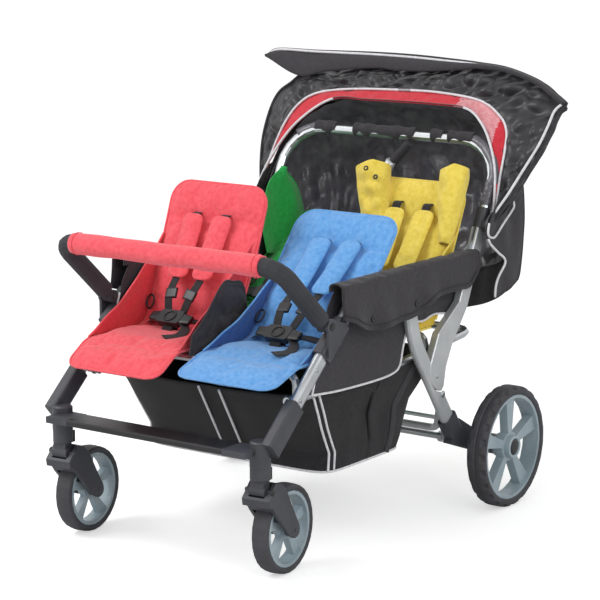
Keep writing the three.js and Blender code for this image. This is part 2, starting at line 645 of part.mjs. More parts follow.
function seatBack({ colour, sign, hinge_y }) {
  const x = sign * seat.pitch / 2;
  const frame = new THREE.Group();
  frame.position.set(x, hinge_y, seat_height - bight.pivot_lift);
  frame.rotation.x = -deg(recline[colour]);
  stroller.add(frame);
  const half = seat.width / 2;
  const r = seat.round;
  const outline = new THREE.Shape([
    ...points([[-half, seat.hinge_gap], [half, seat.hinge_gap]]),
    ...arcPoints(half - r, seat.length - r, r, 0, half_turn / 2, 5),
    ...arcPoints(-half + r, seat.length - r, r, half_turn / 2, half_turn, 5),
  ]);
  const panel = new THREE.ExtrudeGeometry(outline, {
    depth: seat.back_thick - 2 * overrun, bevelEnabled: true, bevelThickness: overrun, bevelSize: overrun,
    bevelOffset: -overrun, bevelSegments: 1,
  }).rotateX(half_turn / 2);
  const parts = [solid(panel.translate(0, seat.back_thick / 2 - overrun, 0))];
  for (const side of sides) {
    const top = seat.length * wing.share;
    const flank = sidePlate(points([[0, seat.hinge_gap * 1.5], [0, top], [-wing.reach * 0.5, top * 0.62],
      [-wing.reach, top * 0.3], [-wing.reach * 0.5,
        seat.hinge_gap * 2]]), wing.thick, side.sign * (half - wing.thick / 2 - wing.inset));
    parts.push(solid(flank));
    const strap = block(pad.width, pad.thick * 2, seat.length * pad.share, side.sign * pad.apart / 2,
      -pad.thick / 2,
      seat.length * (pad.start_share + pad.share / 2));
    parts.push(solid(strap));
  }
  place(`seat_back_${colour}`, geometryOf(join(...parts)), finishes[colour], frame);
}

function harnessBuckle({ colour, sign, hinge_y }) {
  const frame = new THREE.Group();
  frame.position.set(sign * seat.pitch / 2, hinge_y - buckle.ahead, seat_height + buckle.lift);
  frame.rotation.x = deg(buckle.lean);
  stroller.add(frame);
  const body_shape = boxSection(buckle.width, buckle.height, overrun * 3);
  const body = new THREE.ExtrudeGeometry(body_shape, { depth: buckle.thick, bevelEnabled: false });
  const well = solid(new THREE.CylinderGeometry(buckle.button + fit_gap, buckle.button + fit_gap,
    5 * buckle.press, 20)
    .rotateX(half_turn / 2).translate(0, 0, buckle.thick));
  const strap_length = buckle.lift * 1.1;
  const strap = solid(block(buckle.strap, overrun * 2, strap_length, 0, 0, -strap_length / 2 + overrun)
    .rotateX(-deg(buckle.lean)));
  const trim = solid(block(2 * buckle.width, 4 * buckle.width, buckle.width, 0, 0, 0)
    .translate(0, 0, -buckle.lift - buckle.width / 2 + fit_gap).rotateX(-deg(buckle.lean)));
  place(`buckle_${colour}`, geometryOf(cut(join(solid(body), strap), well, trim)), finishes.black_plastic,
    frame);
  const cap = new THREE.CylinderGeometry(buckle.button, buckle.button, buckle.press,
    20).rotateX(half_turn / 2)
    .translate(0, 0, buckle.thick - buckle.press / 2 + fit_gap);
  place(`buckle_button_${colour}`, cap, finishes.black_plastic, frame);
}

function centreDivider() {
  const low = hoop_height + hoop.radius + fit_gap;
  const run = bight.front;
  const rise = armrest_height - low;
  const outline = divider_shares.map(([a, b]) => new THREE.Vector2(hoop_places.front + a * run,
    low + b * rise));
  place('centre_divider', sidePlate(outline.reverse(), divider.thick, 0), finishes.black_fabric);
}

function armrestCover(side) {
  const run = cover.rear - cover.front;
  const base = armrest_height - cover.hem_drop;
  const drop = armrest_height + leg_tube.depth / 2 - base;
  const hem = cover_hem_shares.map(([a, b]) => new THREE.Vector2(cover.front + a * run, base + b * drop));
  const outer = solid(sidePlate([...hem, new THREE.Vector2(cover.rear, cover.top),
    new THREE.Vector2(cover.front, cover.top)],
    cover.thick, side.sign * (cover.outer - cover.thick / 2)));
  const low = rail_height;
  const height = cover.top - low;
  const edge = panel_edge_shares.map(([a, b]) => new THREE.Vector2(cover.front + a * run, low + b * height));
  const inner = solid(sidePlate([...edge, new THREE.Vector2(cover.rear, cover.top),
    new THREE.Vector2(cover.front + run * cover_lead_share, cover.top)],
    cover.thick, side.sign * (cover.inner + cover.thick / 2)));
  const roof = solid(block(cover.outer - cover.inner, cover.roof_rear - cover.front, cover.thick,
    side.sign * (cover.outer + cover.inner) / 2, (cover.front + cover.roof_rear) / 2,
    cover.top - cover.thick / 2));
  const clamp_space = solid(sweep(boxSection(bumper_clamp.width + overrun, bumper_clamp.depth + overrun,
    socket.round),
    new Route([legPoint(side, bumper_clamp.start - overrun), legPoint(side, bumper_clamp.end + overrun)],
      [])));
  const ear_space = solid(block(cover.outer - cover.inner - cover.thick, 3 * rear_pivot.ear,
    armrest_height - rear_pivot.z + 3 * rear_pivot.ear,
    side.sign * (cover.outer + cover.inner - 2 * cover.thick) / 2,
    rear_pivot.y, (armrest_height + rear_pivot.z) / 2));
  place(`armrest_cover_${side.name}`, geometryOf(cut(join(outer, inner, roof), clamp_space, ear_space)),
    finishes.black_fabric);
}

function luggageBasket() {
  const shape = basket_side_shares;
  const top_front = rail_height - rail.radius - fit_gap;
  const outlineAt = (inset) => points([
    [shape.front_foot + inset, basket.bottom + inset], [shape.rear_foot - inset, basket.bottom + inset],
    [shape.rear_knee - inset, basket.bottom + basket.knee_rise], [shape.rear_top - 2 * inset, top_front],
    [shape.front_top + 2 * inset, top_front],
  ]);
  const grid = (inset) => {
    const half_top = basket.half_top - basket.wall - inset;
    const half_low = basket.half_bottom - basket.wall - inset;
    return outlineAt(inset).map((p) => {
      const share = (p.y - basket.bottom) / (top_front - basket.bottom);
      return { y: p.x, z: p.y, half: half_low + (half_top - half_low) * share };
    });
  };
  const shell = (ring, lift) => {
    const position = [];
    for (const sign of [-1, 1]) {
      for (const p of ring) {
        position.push(sign * p.half, p.y, p.z + (p.z > top_front - overrun / 2 ? lift : 0));
      }
    }
    const n = ring.length;
    const index = [];
    for (let i = 1; i < n - 1; i += 1) {
      index.push(0, i + 1, i);
      index.push(n, n + i, n + i + 1);
    }
    for (let i = 0; i < n; i += 1) {
      const k = (i + 1) % n;
      index.push(i, k, n + k, i, n + k, n + i);
    }
    const geometry = new THREE.BufferGeometry();
    geometry.setAttribute('position', new THREE.Float32BufferAttribute(position, 3));
    geometry.setIndex(index);
    return solid(outward(geometry));
  };
  place('basket', geometryOf(cut(shell(grid(0), 0), shell(grid(basket.wall), overrun))),
    finishes.black_fabric);
}

// The lower end of each link plate is a round lobe
function linkOutline() {
  const b = handle_pivot;
  const length = Math.hypot(b.y - link_lobe.y, b.z - link_lobe.z);
  const lobe = arcPoints(link_lobe.y, link_lobe.z, link_lobe.radius, half_turn * 0.9, half_turn * 1.48, 10);
  const top = { y: clamp_place.y, z: clamp_place.z };
  const across = at(0, Math.cos(handle_lean), -Math.sin(handle_lean)).multiplyScalar(link.depth / 2);
  const tip = lobe[lobe.length - 1];
  return [
    ...lobe,
    new THREE.Vector2(tip.x + 0.03 * length, tip.y + 0.03 * length),
    new THREE.Vector2(link_lobe.y + 0.05 * length, link_lobe.z),
    new THREE.Vector2(link_lobe.y + 0.13 * length, link_lobe.z + 0.15 * length),
    new THREE.Vector2(b.y - 0.16 * length, b.z - 0.46 * length),
    new THREE.Vector2(top.y + across.y, top.z + across.z),
    new THREE.Vector2(top.y - across.y, top.z - across.z),
    new THREE.Vector2(b.y - 0.27 * length, b.z - 0.4 * length),
    new THREE.Vector2(link_lobe.y - 0.06 * length, link_lobe.z + 0.27 * length),
  ];
}

function handleLink(side) {
  const x = side.sign * frame_x;
  const plate = solid(sidePlate(linkOutline(), link.width, x, link.edge));
  const slot = solid(crossPin(handle_pivot.slot_radius, tongue.width + 2 * fit_gap, x, handle_pivot.y,
    handle_pivot.z, 32));
  const pin = solid(crossPin(handle_pivot.pin, link.width, x, handle_pivot.y, handle_pivot.z));
  place(`handle_link_${side.name}`, geometryOf(join(cut(plate, slot), pin)), finishes.alloy);
}

// Points of the tilted handle plane, by the distance along it from the clamps
const onHandle = (x, along, out = 0) => at(x,
  clamp_place.y + along * Math.sin(handle_lean) + out * Math.cos(handle_lean),
  clamp_place.z + along * Math.cos(handle_lean) - out * Math.sin(handle_lean));

function handleBar() {
  const low = handle.spread / 2 - handle.foot_inset;
  const wide = handle.spread / 2;
  const route = new Route([onHandle(-low, fit_gap), onHandle(-wide, handle.height),
    onHandle(wide, handle.height), onHandle(low, fit_gap)],
    [handle.bend, handle.bend], 6);
  place('handle_bar', sweep(roundSection(handle.radius, 12), route), finishes.alloy);
}

function hoodClamp(side) {
  const low = handle.spread / 2 - handle.foot_inset;
  const start = onHandle(side.sign * low, fit_gap * 2);
  const end = onHandle(side.sign * low, clamp.length);
  const body = solid(sweep(roundSection(clamp.radius, 20), new Route([start, end], [])));
  const spread = (handle.spread / 2 - low) * (clamp.length + overrun) / handle.height;
  const hole = solid(sweep(roundSection(handle.radius + 2 * fit_gap, 16),
    new Route([onHandle(side.sign * low, -overrun),
    onHandle(side.sign * (low + spread), clamp.length + overrun)], [])));
  const centre = onHandle(side.sign * low, clamp.pivot);
  const boss_start = low + (handle.radius + clamp.radius) / 2;
  const boss_end = hood.half - hood.wall - 4 * fit_gap;
  const boss = solid(crossPin(clamp.boss, boss_end - boss_start, side.sign * (boss_end + boss_start) / 2,
    centre.y, centre.z));
  const flange = solid(crossPin(clamp.flange, clamp.flange_width,
    side.sign * (boss_end - clamp.flange_width / 2),
    centre.y, centre.z, 24));
  place(`hood_clamp_${side.name}`, geometryOf(join(cut(body, hole), boss, flange)), finishes.black_plastic);
}

function centreStrut() {
  const top = onHandle(strut.top_x, handle.height - handle.radius - strut.radius * strut.tilt_share);
  const low = at(0, strut.low_y, strut.low_z);
  place('centre_strut', sweep(roundSection(strut.radius, 14), new Route([low, top], [])),
    finishes.black_fabric);
}

const hood_centre = onHandle(0, clamp.pivot);

// A point of the hood: lean is the angle of its bow from upright, s runs from 0 at one side to 1 at the other
function bowPoint(half, height, lean, s, square) {
  const angle = half_turn * s;
  const c = Math.cos(angle);
  const x = -Math.sign(c) * half * Math.abs(c) ** (2 / square);
  const r = height * Math.sin(angle) ** (2 / square);
  return at(x, hood_centre.y + r * Math.sin(lean), hood_centre.z + r * Math.cos(lean));
}

function hoodGrid(inset) {
  const start = Math.asin((hood.start / hood.height) ** (hood.square / 2)) / half_turn;
  return hood_lean_shares.map((lean_share, i) => {
    const lean = deg(hood.lean + hood_turn * lean_share);
    const height = hood.height * hood_reach_shares[i] - inset;
    return Array.from({ length: hood_arc_steps + 1 }, (_, j) => {
      const s = start + (1 - 2 * start) * j / hood_arc_steps;
      return bowPoint(hood.half - inset, height, lean, s, hood.square);
    });
  });
}

function hoodShell() {
  const shell = solid(outward(sheet(hoodGrid(0), hoodGrid(hood.wall))));
  const skirts = sides.map((side) => solid(sidePlate(points([
    [hood_centre.y + hood.start * skirt_lead_share, hood_centre.z - hood.start], [curtain.front,
      hood_centre.z - hood.start * skirt_drop_share],
    [curtain.front, curtain.bottom], [curtain.rear - curtain.foot_back, curtain.bottom], [curtain.rear,
      curtain.bottom + curtain.rear_rise],
    [hood_centre.y + hood.height * skirt_reach_share, hood_centre.z - hood.start],
  ]).reverse(), hood.wall, side.sign * hood.side)));
  place('hood_shell', geometryOf(join(shell, ...skirts)), finishes.black_fabric);
}

function visorEdge(half, height, square, taper, lift) {
  const start = visor_start_share;
  const lean = deg(visor.lean);
  return Array.from({ length: hood_arc_steps + 1 }, (_, j) => {
    const s = start + (1 - 2 * start) * j / hood_arc_steps;
    const p = bowPoint(half, height, lean, s, square);
    const r = Math.hypot(p.y - hood_centre.y, p.z - hood_centre.z);
    const share = taper + (1 - taper) * Math.min(1, r / visor.straight);
    p.x *= share;
    p.y -= lift * Math.cos(lean);
    p.z += lift * Math.sin(lean);
    return p;
  });
}

function hoodVisor() {
  const rows = (lift) => [
    visorEdge(hood.half + visor.gap, hood.height + visor.gap, hood.square, 1, lift),
    visorEdge(visor.half, visor.height, visor.square, visor.waist_share, lift),
  ];
  place('hood_visor', outward(sheet(rows(visor.wall * 2), rows(visor.wall))), finishes.black_fabric);
}

// Rear frame
const rearLegRoute = (x) => new Route([at(x, rear_pivot.y, rear_pivot.z),
  at(x, rear_leg.knee_y, rear_leg.knee_z),
  at(x, rear_leg.foot_y, rear_leg.foot_z)], [rear_leg.bend]);

// The notch leaves the lobe free to swing out backwards
function lobeNotch() {
  const radius = link_lobe.radius + link_lobe.gap;
  const arc = arcPoints(link_lobe.y, link_lobe.z, radius, half_turn * 0.88, half_turn * 1.48, 10);
  const foot = arc[arc.length - 1];
  return [
    ...arc,
    new THREE.Vector2(foot.x + 2 * radius, foot.y - 0.7 * radius),
    new THREE.Vector2(foot.x + 2 * radius, foot.y + 2 * radius),
    new THREE.Vector2(arc[0].x, arc[0].y + 0.3 * radius),
  ];
}

function rearFrame() {
  const parts = sides.map((side) => {
    const x = side.sign * frame_x;
    const leg = solid(sweep(boxSection(rear_leg.width, rear_leg.depth, leg_tube.round), rearLegRoute(x)));
    const top = solid(crossPin(rear_pivot.ear - overrun, rear_leg.width, x, rear_pivot.y, rear_pivot.z, 16));
    const shoulder = solid(block(2 * rear_leg.width, 2 * rear_leg.depth, rear_leg.depth, x, rear_pivot.y,
      rear_pivot.z + rear_leg.depth / 2 + overrun));
    const bore = solid(crossPin(rear_pivot.bore, 2 * rear_leg.width, x, rear_pivot.y, rear_pivot.z));
    const notch = solid(sidePlate(lobeNotch(), 2 * rear_leg.width, x));
    return cut(join(cut(leg, shoulder), top), bore, notch);
  });
  const inner = frame_x - rear_leg.width / 2 + overrun;
  const c = cross_tube;
  const joint = solid(tube([at(-inner, c.leg_y, c.leg_z), at(-c.half, c.y, c.z), at(c.half, c.y, c.z),
    at(inner, c.leg_y, c.leg_z)],
    [c.bend, c.bend], c.radius));
  place('rear_frame', geometryOf(join(...parts, joint)), finishes.alloy);
}

function hubBracket(side) {
  const x = side.sign * frame_x;
  const foot = at(x, rear_leg.foot_y, rear_leg.foot_z);
  const along = foot.clone().sub(at(x, rear_leg.knee_y, rear_leg.knee_z)).normalize();
  const start = foot.clone().addScaledVector(along, -hub_bracket.grip);
  const end = foot.clone().addScaledVector(along, hub_bracket.grip / 2);
  const sleeve = solid(sweep(boxSection(hub_bracket.width, hub_bracket.sleeve_depth, socket.round),
    new Route([start, end], [])));
  const pocket = solid(sweep(boxSection(rear_leg.width + 2 * fit_gap, rear_leg.depth + 2 * fit_gap,
    leg_tube.round),
    new Route([start.clone().addScaledVector(along, -overrun),
      foot.clone().addScaledVector(along, fit_gap)], [])));
  const hub = { y: wheelbase, z: rear_wheel.radius };
  const arm = solid(sidePlate([
    new THREE.Vector2(foot.y - hub_arm.back, foot.z - hub_arm.drop), ...arcPoints(hub.y, hub.z,
      hub_bracket.boss, -half_turn * 0.6, half_turn * 0.45, 10),
    new THREE.Vector2(foot.y + hub_arm.front, foot.z + hub_arm.rise),
  ], hub_bracket.plate, x));
  const wheel_face = rear_track / 2 - rear_wheel.width / 2;
  const length = wheel_face - run_gap - frame_x + hub_bracket.plate / 2;
  const boss = solid(crossPin(hub_bracket.boss, length, side.sign * (wheel_face - run_gap - length / 2),
    hub.y, hub.z, 24));
  const stub_length = rear_track / 2 + rear_wheel.width / 2 - frame_x;
  const stub = solid(crossPin(hub_bracket.stub, stub_length, side.sign * (frame_x + stub_length / 2), hub.y,
    hub.z));
  const tube_space = solid(crossPin(axle_tube.radius + fit_gap, 2 * hub_bracket.plate,
    side.sign * (frame_x - hub_bracket.plate - axle_tube.socket), axle_tube.y, axle_tube.z));
  place(`hub_bracket_${side.name}`, geometryOf(cut(join(sleeve, arm, boss, stub), pocket, tube_space)),
    finishes.black_plastic);
}

function rearAxle() {
  const length = 2 * (frame_x - hub_bracket.plate / 2 + axle_tube.socket);
  place('rear_axle', crossPin(axle_tube.radius, length, 0, axle_tube.y, axle_tube.z, 20), finishes.alloy);
}

function brakeBar() {
  const axis = { y: axle_tube.y, z: axle_tube.z };
  const y = axis.y + brake.reach;
  const z = axis.z + brake.rise;
  const bar = solid(tube([at(-brake.half, axis.y, axis.z), at(-brake.half, y, z), at(brake.half, y, z),
    at(brake.half, axis.y, axis.z)],
    [brake.eye, brake.eye], brake.bar, 8, 3));
  const eyes = sides.map((side) => solid(crossPin(brake.eye, brake.eye_width, side.sign * brake.half,
    axis.y, axis.z, 16)));
  const pedal = solid(block(brake.pad, brake.eye * 2.4, brake.bar * 2.6, 0, y, z));
  const bores = solid(crossPin(axle_tube.radius + fit_gap, 3 * brake.half, 0, axis.y, axis.z, 12));
  place('brake_bar', geometryOf(cut(join(bar, ...eyes, pedal), bores)), finishes.alloy);
}

function rearWheel(side) {
  const x = side.sign * rear_track / 2;
  const tyre = place(`rear_tyre_${side.name}`, tyreGeometry(rear_wheel), finishes.tyre);
  tyre.position.set(x, wheelbase, rear_wheel.radius);
  const rim = place(`rear_rim_${side.name}`, rimGeometry(rear_wheel), finishes.rim);
  rim.position.set(x, wheelbase, rear_wheel.radius);
}

for (const side of sides) {
  castor(side);
  sideFrame(side);
  castorHousing(side);
  bumperClamp(side);
  armrestCover(side);
  handleLink(side);
  hoodClamp(side);
  hubBracket(side);
  rearWheel(side);
}
frontCrossbar();
seatFrame();
bumperBar();
for (const one of seats) {
  seatSling(one);
  seatBack(one);
  harnessBuckle(one);
}
centreDivider();
luggageBasket();
rearFrame();
rearAxle();
brakeBar();
handleBar();
centreStrut();
hoodShell();
hoodVisor();

// The origin is on the ground, midway along the stroller
stroller.updateMatrixWorld(true);
const extent = new THREE.Box3().setFromObject(stroller, true);
stroller.position.y = -(extent.min.y + extent.max.y) / 2;

export default stroller;
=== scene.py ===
# %% [markdown]
# # A four-seat daycare stroller
# The frame, joints and wheels come from the CAD model. This lesson dresses it: finishes for the rigid
# parts, and fabric made as surfaces worked out with numpy for the seats, covers, basket and hood.
# Every piece is in metres in the CAD frame, and most ride on one of its bodies, so they move with the joints.

# %% Load the frame
import math

import bmesh
import bpy
import numpy as np
from mathutils import Matrix, Vector


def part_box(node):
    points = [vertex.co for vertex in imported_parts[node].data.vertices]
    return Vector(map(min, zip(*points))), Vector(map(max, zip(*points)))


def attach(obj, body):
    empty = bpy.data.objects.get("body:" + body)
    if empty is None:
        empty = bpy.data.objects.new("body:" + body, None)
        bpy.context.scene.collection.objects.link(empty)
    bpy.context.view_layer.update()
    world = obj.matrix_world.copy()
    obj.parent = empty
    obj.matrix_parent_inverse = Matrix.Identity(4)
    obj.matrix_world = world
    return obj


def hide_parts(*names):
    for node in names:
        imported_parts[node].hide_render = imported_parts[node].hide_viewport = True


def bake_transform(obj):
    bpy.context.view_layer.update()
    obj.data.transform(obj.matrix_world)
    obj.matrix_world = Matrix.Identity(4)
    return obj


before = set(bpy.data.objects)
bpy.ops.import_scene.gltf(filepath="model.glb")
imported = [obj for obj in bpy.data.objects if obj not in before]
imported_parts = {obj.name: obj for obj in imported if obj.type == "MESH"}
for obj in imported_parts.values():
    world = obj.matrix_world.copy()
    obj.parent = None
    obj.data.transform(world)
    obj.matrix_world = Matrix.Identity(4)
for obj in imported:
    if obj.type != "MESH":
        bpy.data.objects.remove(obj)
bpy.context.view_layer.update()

# %% [markdown]
# ## Places in millimetres
# The drawings of a stroller are easiest to read in millimetres, with y counted back from the front
# axle. The frame has its origin midway along the stroller, so one function moves a place from the
# drawing to the frame. The shift is measured on a rear tyre, whose axle is 669 mm behind the front one.

# %% From the drawing to the frame
wheelbase = 669.0
axle_low, axle_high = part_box("rear_tyre_left")
shift = (axle_low.y + axle_high.y) / 2 * 1000 - wheelbase


def place(points):
    """Millimetres in the drawing to metres in the frame: add the shift to y, divide by 1000."""
    return (np.asarray(points, float) + [0.0, shift, 0.0]) / 1000


print("shift along Y, mm:", round(shift, 2))

# %% [markdown]
# ## Camera
# A camera could be guessed by eye, but the wheels and legs of the photograph fix it: 35.5 degrees round
# from the front, 10.9 degrees up, with a long lens. The lens is given on a 36 mm sensor.

# %% Camera
eye = place([2766.7, -3476.9, 1374.1])
forward = np.array([-0.5702, 0.7994, -0.1893])
up = np.array([-0.1099, 0.1541, 0.9819])
right = np.cross(forward, up)
camera = bpy.data.objects.new("camera", bpy.data.cameras.new("camera"))
bpy.context.collection.objects.link(camera)
axes = Matrix(np.array([right, up, -forward]).T.tolist())
camera.matrix_world = Matrix.Translation(eye.tolist()) @ axes.to_4x4()
camera.data.sensor_width = 36.0
camera.data.lens = 136.236
camera.data.clip_end = 50.0
bpy.context.scene.camera = camera
print("camera at, metres:", np.round(eye, 3).tolist())

# %% [markdown]
# ## Colours and nodes
# Colours are written as the sRGB hex values that a picture shows. Shaders work in linear light, so one
# function turns them. Another adds a node, sets it and links it, so that a material reads as a list.

# %% Colours and nodes


def linear(hex_colour):
    """Each sRGB share c becomes c / 12.92 below 0.04045, and ((c + 0.055) / 1.055) to the 2.4 above it."""
    c = np.array([int(hex_colour[k:k + 2], 16) for k in (1, 3, 5)]) / 255
    return (*np.where(c <= 0.04045, c / 12.92, ((c + 0.055) / 1.055) ** 2.4).tolist(), 1.0)


def add(tree, kind, sockets=None, **settings):
    """A node of this kind: settings are its own options, sockets are values or links for its inputs."""
    made = tree.nodes.new("ShaderNode" + kind)
    for name, value in settings.items():
        setattr(made, name, value)
    for name, value in (sockets or {}).items():
        if isinstance(value, bpy.types.NodeSocket):
            tree.links.new(value, made.inputs[name])
        else:
            made.inputs[name].default_value = value
    return made


def new_finish(name, **sockets):
    """A material with one Principled shader; the values go straight to its sockets."""
    made = bpy.data.materials.new(name)
    made.use_nodes = True
    shader = made.node_tree.nodes["Principled BSDF"]
    for socket, value in sockets.items():
        shader.inputs[socket.replace("_", " ")].default_value = value
    return made, made.node_tree, shader


def mottle(tree, vector, low_colour, high_colour, size_mm, detail=3.0):
    """Colour that wanders between two tones, over patches of about size_mm."""
    noise = add(tree, "TexNoise", {"Vector": vector, "Scale": 1000 / size_mm, "Detail": detail})
    ramp = add(tree, "ValToRGB", {"Fac": noise.outputs["Fac"]})
    low_stop, high_stop = ramp.color_ramp.elements
    low_stop.position, high_stop.position = 0.3, 0.7
    low_stop.color, high_stop.color = linear(low_colour), linear(high_colour)
    return ramp.outputs["Color"]


# %% [markdown]
# ## Woven fabrics
# Cotton canvas is a plain weave: threads over and under each other, a little uneven, with a soft sheen
# from loose fibres. An image could show that, but two crossed wave patterns on the piece's own UV map
# are sharp at any distance. The UV map is in metres, so the thread spacing is a real size.

# %% Woven fabrics


def woven(name, low_colour, high_colour, thread_mm, rough, sheen, crumple_mm, weave=0.35):
    """Cloth: crossed waves thread_mm apart for the weave, slubs in its colour, and fine crumples."""
    made, tree, shader = new_finish(name, Roughness=rough, Sheen_Weight=sheen, Sheen_Roughness=0.6,
                                    Specular_IOR_Level=0.25)
    coords = add(tree, "TexCoord")
    uv, space = coords.outputs["UV"], coords.outputs["Object"]
    # a wave of scale 1 repeats every 314 mm, so this scale gives one thread each thread_mm
    scale = 314.16 / thread_mm
    warp = add(tree, "TexWave", {"Vector": uv, "Scale": scale, "Distortion": 0.4}, bands_direction="X")
    weft = add(tree, "TexWave", {"Vector": uv, "Scale": scale, "Distortion": 0.4}, bands_direction="Y")
    threads = add(tree, "Math", {0: warp.outputs["Fac"], 1: weft.outputs["Fac"]}, operation="MAXIMUM")
    colour = mottle(tree, space, low_colour, high_colour, 9.0, 6.0)
    # painted shade: the gaps between threads are darkened, and a faint painted highlight lightens their
    # crowns
    thread_painted_shade = add(tree, "MapRange", {"Value": threads.outputs["Value"], "To Min": 0.86, "To Max": 1.03})
    tinted = add(tree, "Mix", {0: 1.0, "A": colour, "B": thread_painted_shade.outputs["Result"]}, data_type="RGBA",
                 blend_type="MULTIPLY")
    tree.links.new(tinted.outputs[2], shader.inputs["Base Color"])
    fine = add(tree, "Bump", {"Height": threads.outputs["Value"], "Strength": weave,
                              "Distance": thread_mm / 4000})
    folds = add(tree, "TexNoise", {"Vector": space, "Scale": 22.0, "Detail": 4.0, "Roughness": 0.55,
                                   "Distortion": 0.6})
    soft = add(tree, "Bump", {"Height": folds.outputs["Fac"], "Strength": 0.55, "Distance": crumple_mm / 1000,
                              "Normal": fine.outputs["Normal"]})
    tree.links.new(soft.outputs["Normal"], shader.inputs["Normal"])
    return made


# threads 0.5 mm apart would not show from 4 metres, so they are drawn 1.8 mm apart
shown_thread = 1.8
canvas_tones = {"red": ("#e94a55", "#f8606b"), "blue": ("#5498da", "#72aee8"),
                "yellow": ("#e8cd48", "#f6de66"), "green": ("#17a044", "#27b855")}
canvas = {colour: woven(f"cotton_canvas_{colour}", *tones, shown_thread, 0.85, 0.25, 3.0)
          for colour, tones in canvas_tones.items()}
# the side wings are the same cotton as the seats, drawn in darker tones that are painted shade
shaded_wing_tones = {"red": ("#d42a38", "#e23a46"), "blue": ("#1f4f92", "#2a60a6"),
                "yellow": ("#cfae28", "#e2c238"), "green": ("#0d6e2c", "#178338")}
wing_canvas_painted_shade = {colour: woven(f"cotton_lining_{colour}", *tones, shown_thread, 0.8, 0.2, 3.0)
               for colour, tones in shaded_wing_tones.items()}
# the black and red cloths of the hood and covers are polyester: closer woven, smoother and with less sheen
polyester = woven("oxford_polyester_black", "#29272b", "#353237", shown_thread, 0.72, 0.12, 4.0)
mesh_cloth = woven("mesh_polyester_black", "#1b1a1d", "#262528", 3.2, 0.75, 0.08, 3.0, 0.9)
red_twill = woven("polyester_twill_red", "#c42634", "#d83442", shown_thread, 0.7, 0.15, 4.0)
pink_mesh = woven("mesh_polyester_pink", "#e0848c", "#f2b4b8", 3.4, 0.8, 0.1, 3.0, 0.9)
piping = woven("cotton_piping_white", "#d4d3d8", "#ecebee", 1.6, 0.7, 0.2, 1.0)
webbing = woven("polypropylene_webbing_black", "#131215", "#1f1e22", 2.4, 0.6, 0.1, 0.5, 0.8)
print(len(bpy.data.materials), "materials with the woven fabrics")

# %% [markdown]
# ## Crinkled nylon
# The hood's lining is thin coated nylon: it catches the light in sharp, random creases. Ridged noise
# gives creases with crisp edges, and a lower roughness gives their gloss.

# %% Crinkled nylon


def crinkled(name, low_colour, high_colour, crease_mm, depth_mm, rough):
    """Thin coated cloth: ridged noise about crease_mm across, raised depth_mm, over a finer one."""
    made, tree, shader = new_finish(name, Roughness=rough, Specular_IOR_Level=0.5, Sheen_Weight=0.1)
    space = add(tree, "TexCoord").outputs["Object"]
    tree.links.new(mottle(tree, space, low_colour, high_colour, 30.0), shader.inputs["Base Color"])
    large = add(tree, "TexNoise", {"Vector": space, "Scale": 1000 / crease_mm, "Detail": 3.0,
                                   "Distortion": 1.2}, noise_type="RIDGED_MULTIFRACTAL", normalize=True)
    small = add(tree, "TexNoise", {"Vector": space, "Scale": 3200 / crease_mm, "Detail": 4.0,
                                   "Distortion": 0.8})
    first = add(tree, "Bump", {"Height": large.outputs["Fac"], "Strength": 0.8, "Distance": depth_mm / 1000})
    second = add(tree, "Bump", {"Height": small.outputs["Fac"], "Strength": 0.5, "Distance": depth_mm / 2500,
                                "Normal": first.outputs["Normal"]})
    tree.links.new(second.outputs["Normal"], shader.inputs["Normal"])
    return made


# the black nylon is drawn in light greys with lighter patches: painted light, for the highlights its creases
# catch inside the hood
nylon = crinkled("coated_nylon_black", "#4c4a51", "#6a686f", 110.0, 16.0, 0.27)
hood_cloth = crinkled("hood_polyester_black", "#1b1a1d", "#29272c", 110.0, 9.0, 0.42)
print(len(bpy.data.materials), "materials with the crinkled ones")

# %% [markdown]
# ## Metal, plastic, foam and rubber
# The tubes are satin anodised aluminium: drawn along their length, so the polish has faint streaks. The
# brackets are moulded nylon with a spark-eroded grain, the bumper grip is fine-pored EVA foam and the
# tyres are foamed rubber. Each gets a grain of its own size and slight wear in its gloss.

# %% Metal, plastic, foam and rubber


def grained(name, low_colour, high_colour, grain_mm, depth_mm, rough, spread=0.08, patch_mm=60.0, **more):
    """A moulded or drawn surface: grain of grain_mm in relief and gloss, patches of patch_mm in colour."""
    made, tree, shader = new_finish(name, Roughness=rough, **more)
    space = add(tree, "TexCoord").outputs["Object"]
    tree.links.new(mottle(tree, space, low_colour, high_colour, patch_mm), shader.inputs["Base Color"])
    grain = add(tree, "TexNoise", {"Vector": space, "Scale": 1000 / grain_mm, "Detail": 2.0})
    bump = add(tree, "Bump", {"Height": grain.outputs["Fac"], "Strength": 0.5, "Distance": depth_mm / 1000})
    tree.links.new(bump.outputs["Normal"], shader.inputs["Normal"])
    gloss = add(tree, "MapRange", {"Value": grain.outputs["Fac"], "To Min": rough - spread,
                                   "To Max": rough + spread})
    tree.links.new(gloss.outputs["Result"], shader.inputs["Roughness"])
    return made


aluminium = grained("anodised_aluminium_satin", "#b9bdc0", "#d2d5d7", 2.5, 0.12, 0.33, Metallic=1.0)
# the link plates and rear legs are powder coated in silver, so they are less metallic than the tubes
silver_coat = grained("powder_coat_silver", "#b4b8ba", "#c8cbcc", 1.6, 0.1, 0.4, Metallic=0.45)
graphite = grained("moulded_nylon_graphite", "#35363b", "#42434a", 1.6, 0.2, 0.46)
black_nylon = grained("moulded_nylon_black", "#121214", "#1c1c1f", 1.4, 0.15, 0.38)
foam = grained("eva_foam_black", "#2b2c30", "#37383d", 2.4, 0.5, 0.82)
rubber = grained("foamed_rubber_charcoal", "#333337", "#434348", 2.6, 0.35, 0.66)
wheel_nylon = grained("moulded_nylon_blue_grey", "#8d9ea6", "#a3b2b9", 2.0, 0.1, 0.42)
steel = grained("zinc_plated_steel", "#8f9396", "#b4b8ba", 1.2, 0.05, 0.28, Metallic=1.0)
print(len(bpy.data.materials), "materials with metal, plastic, foam and rubber")

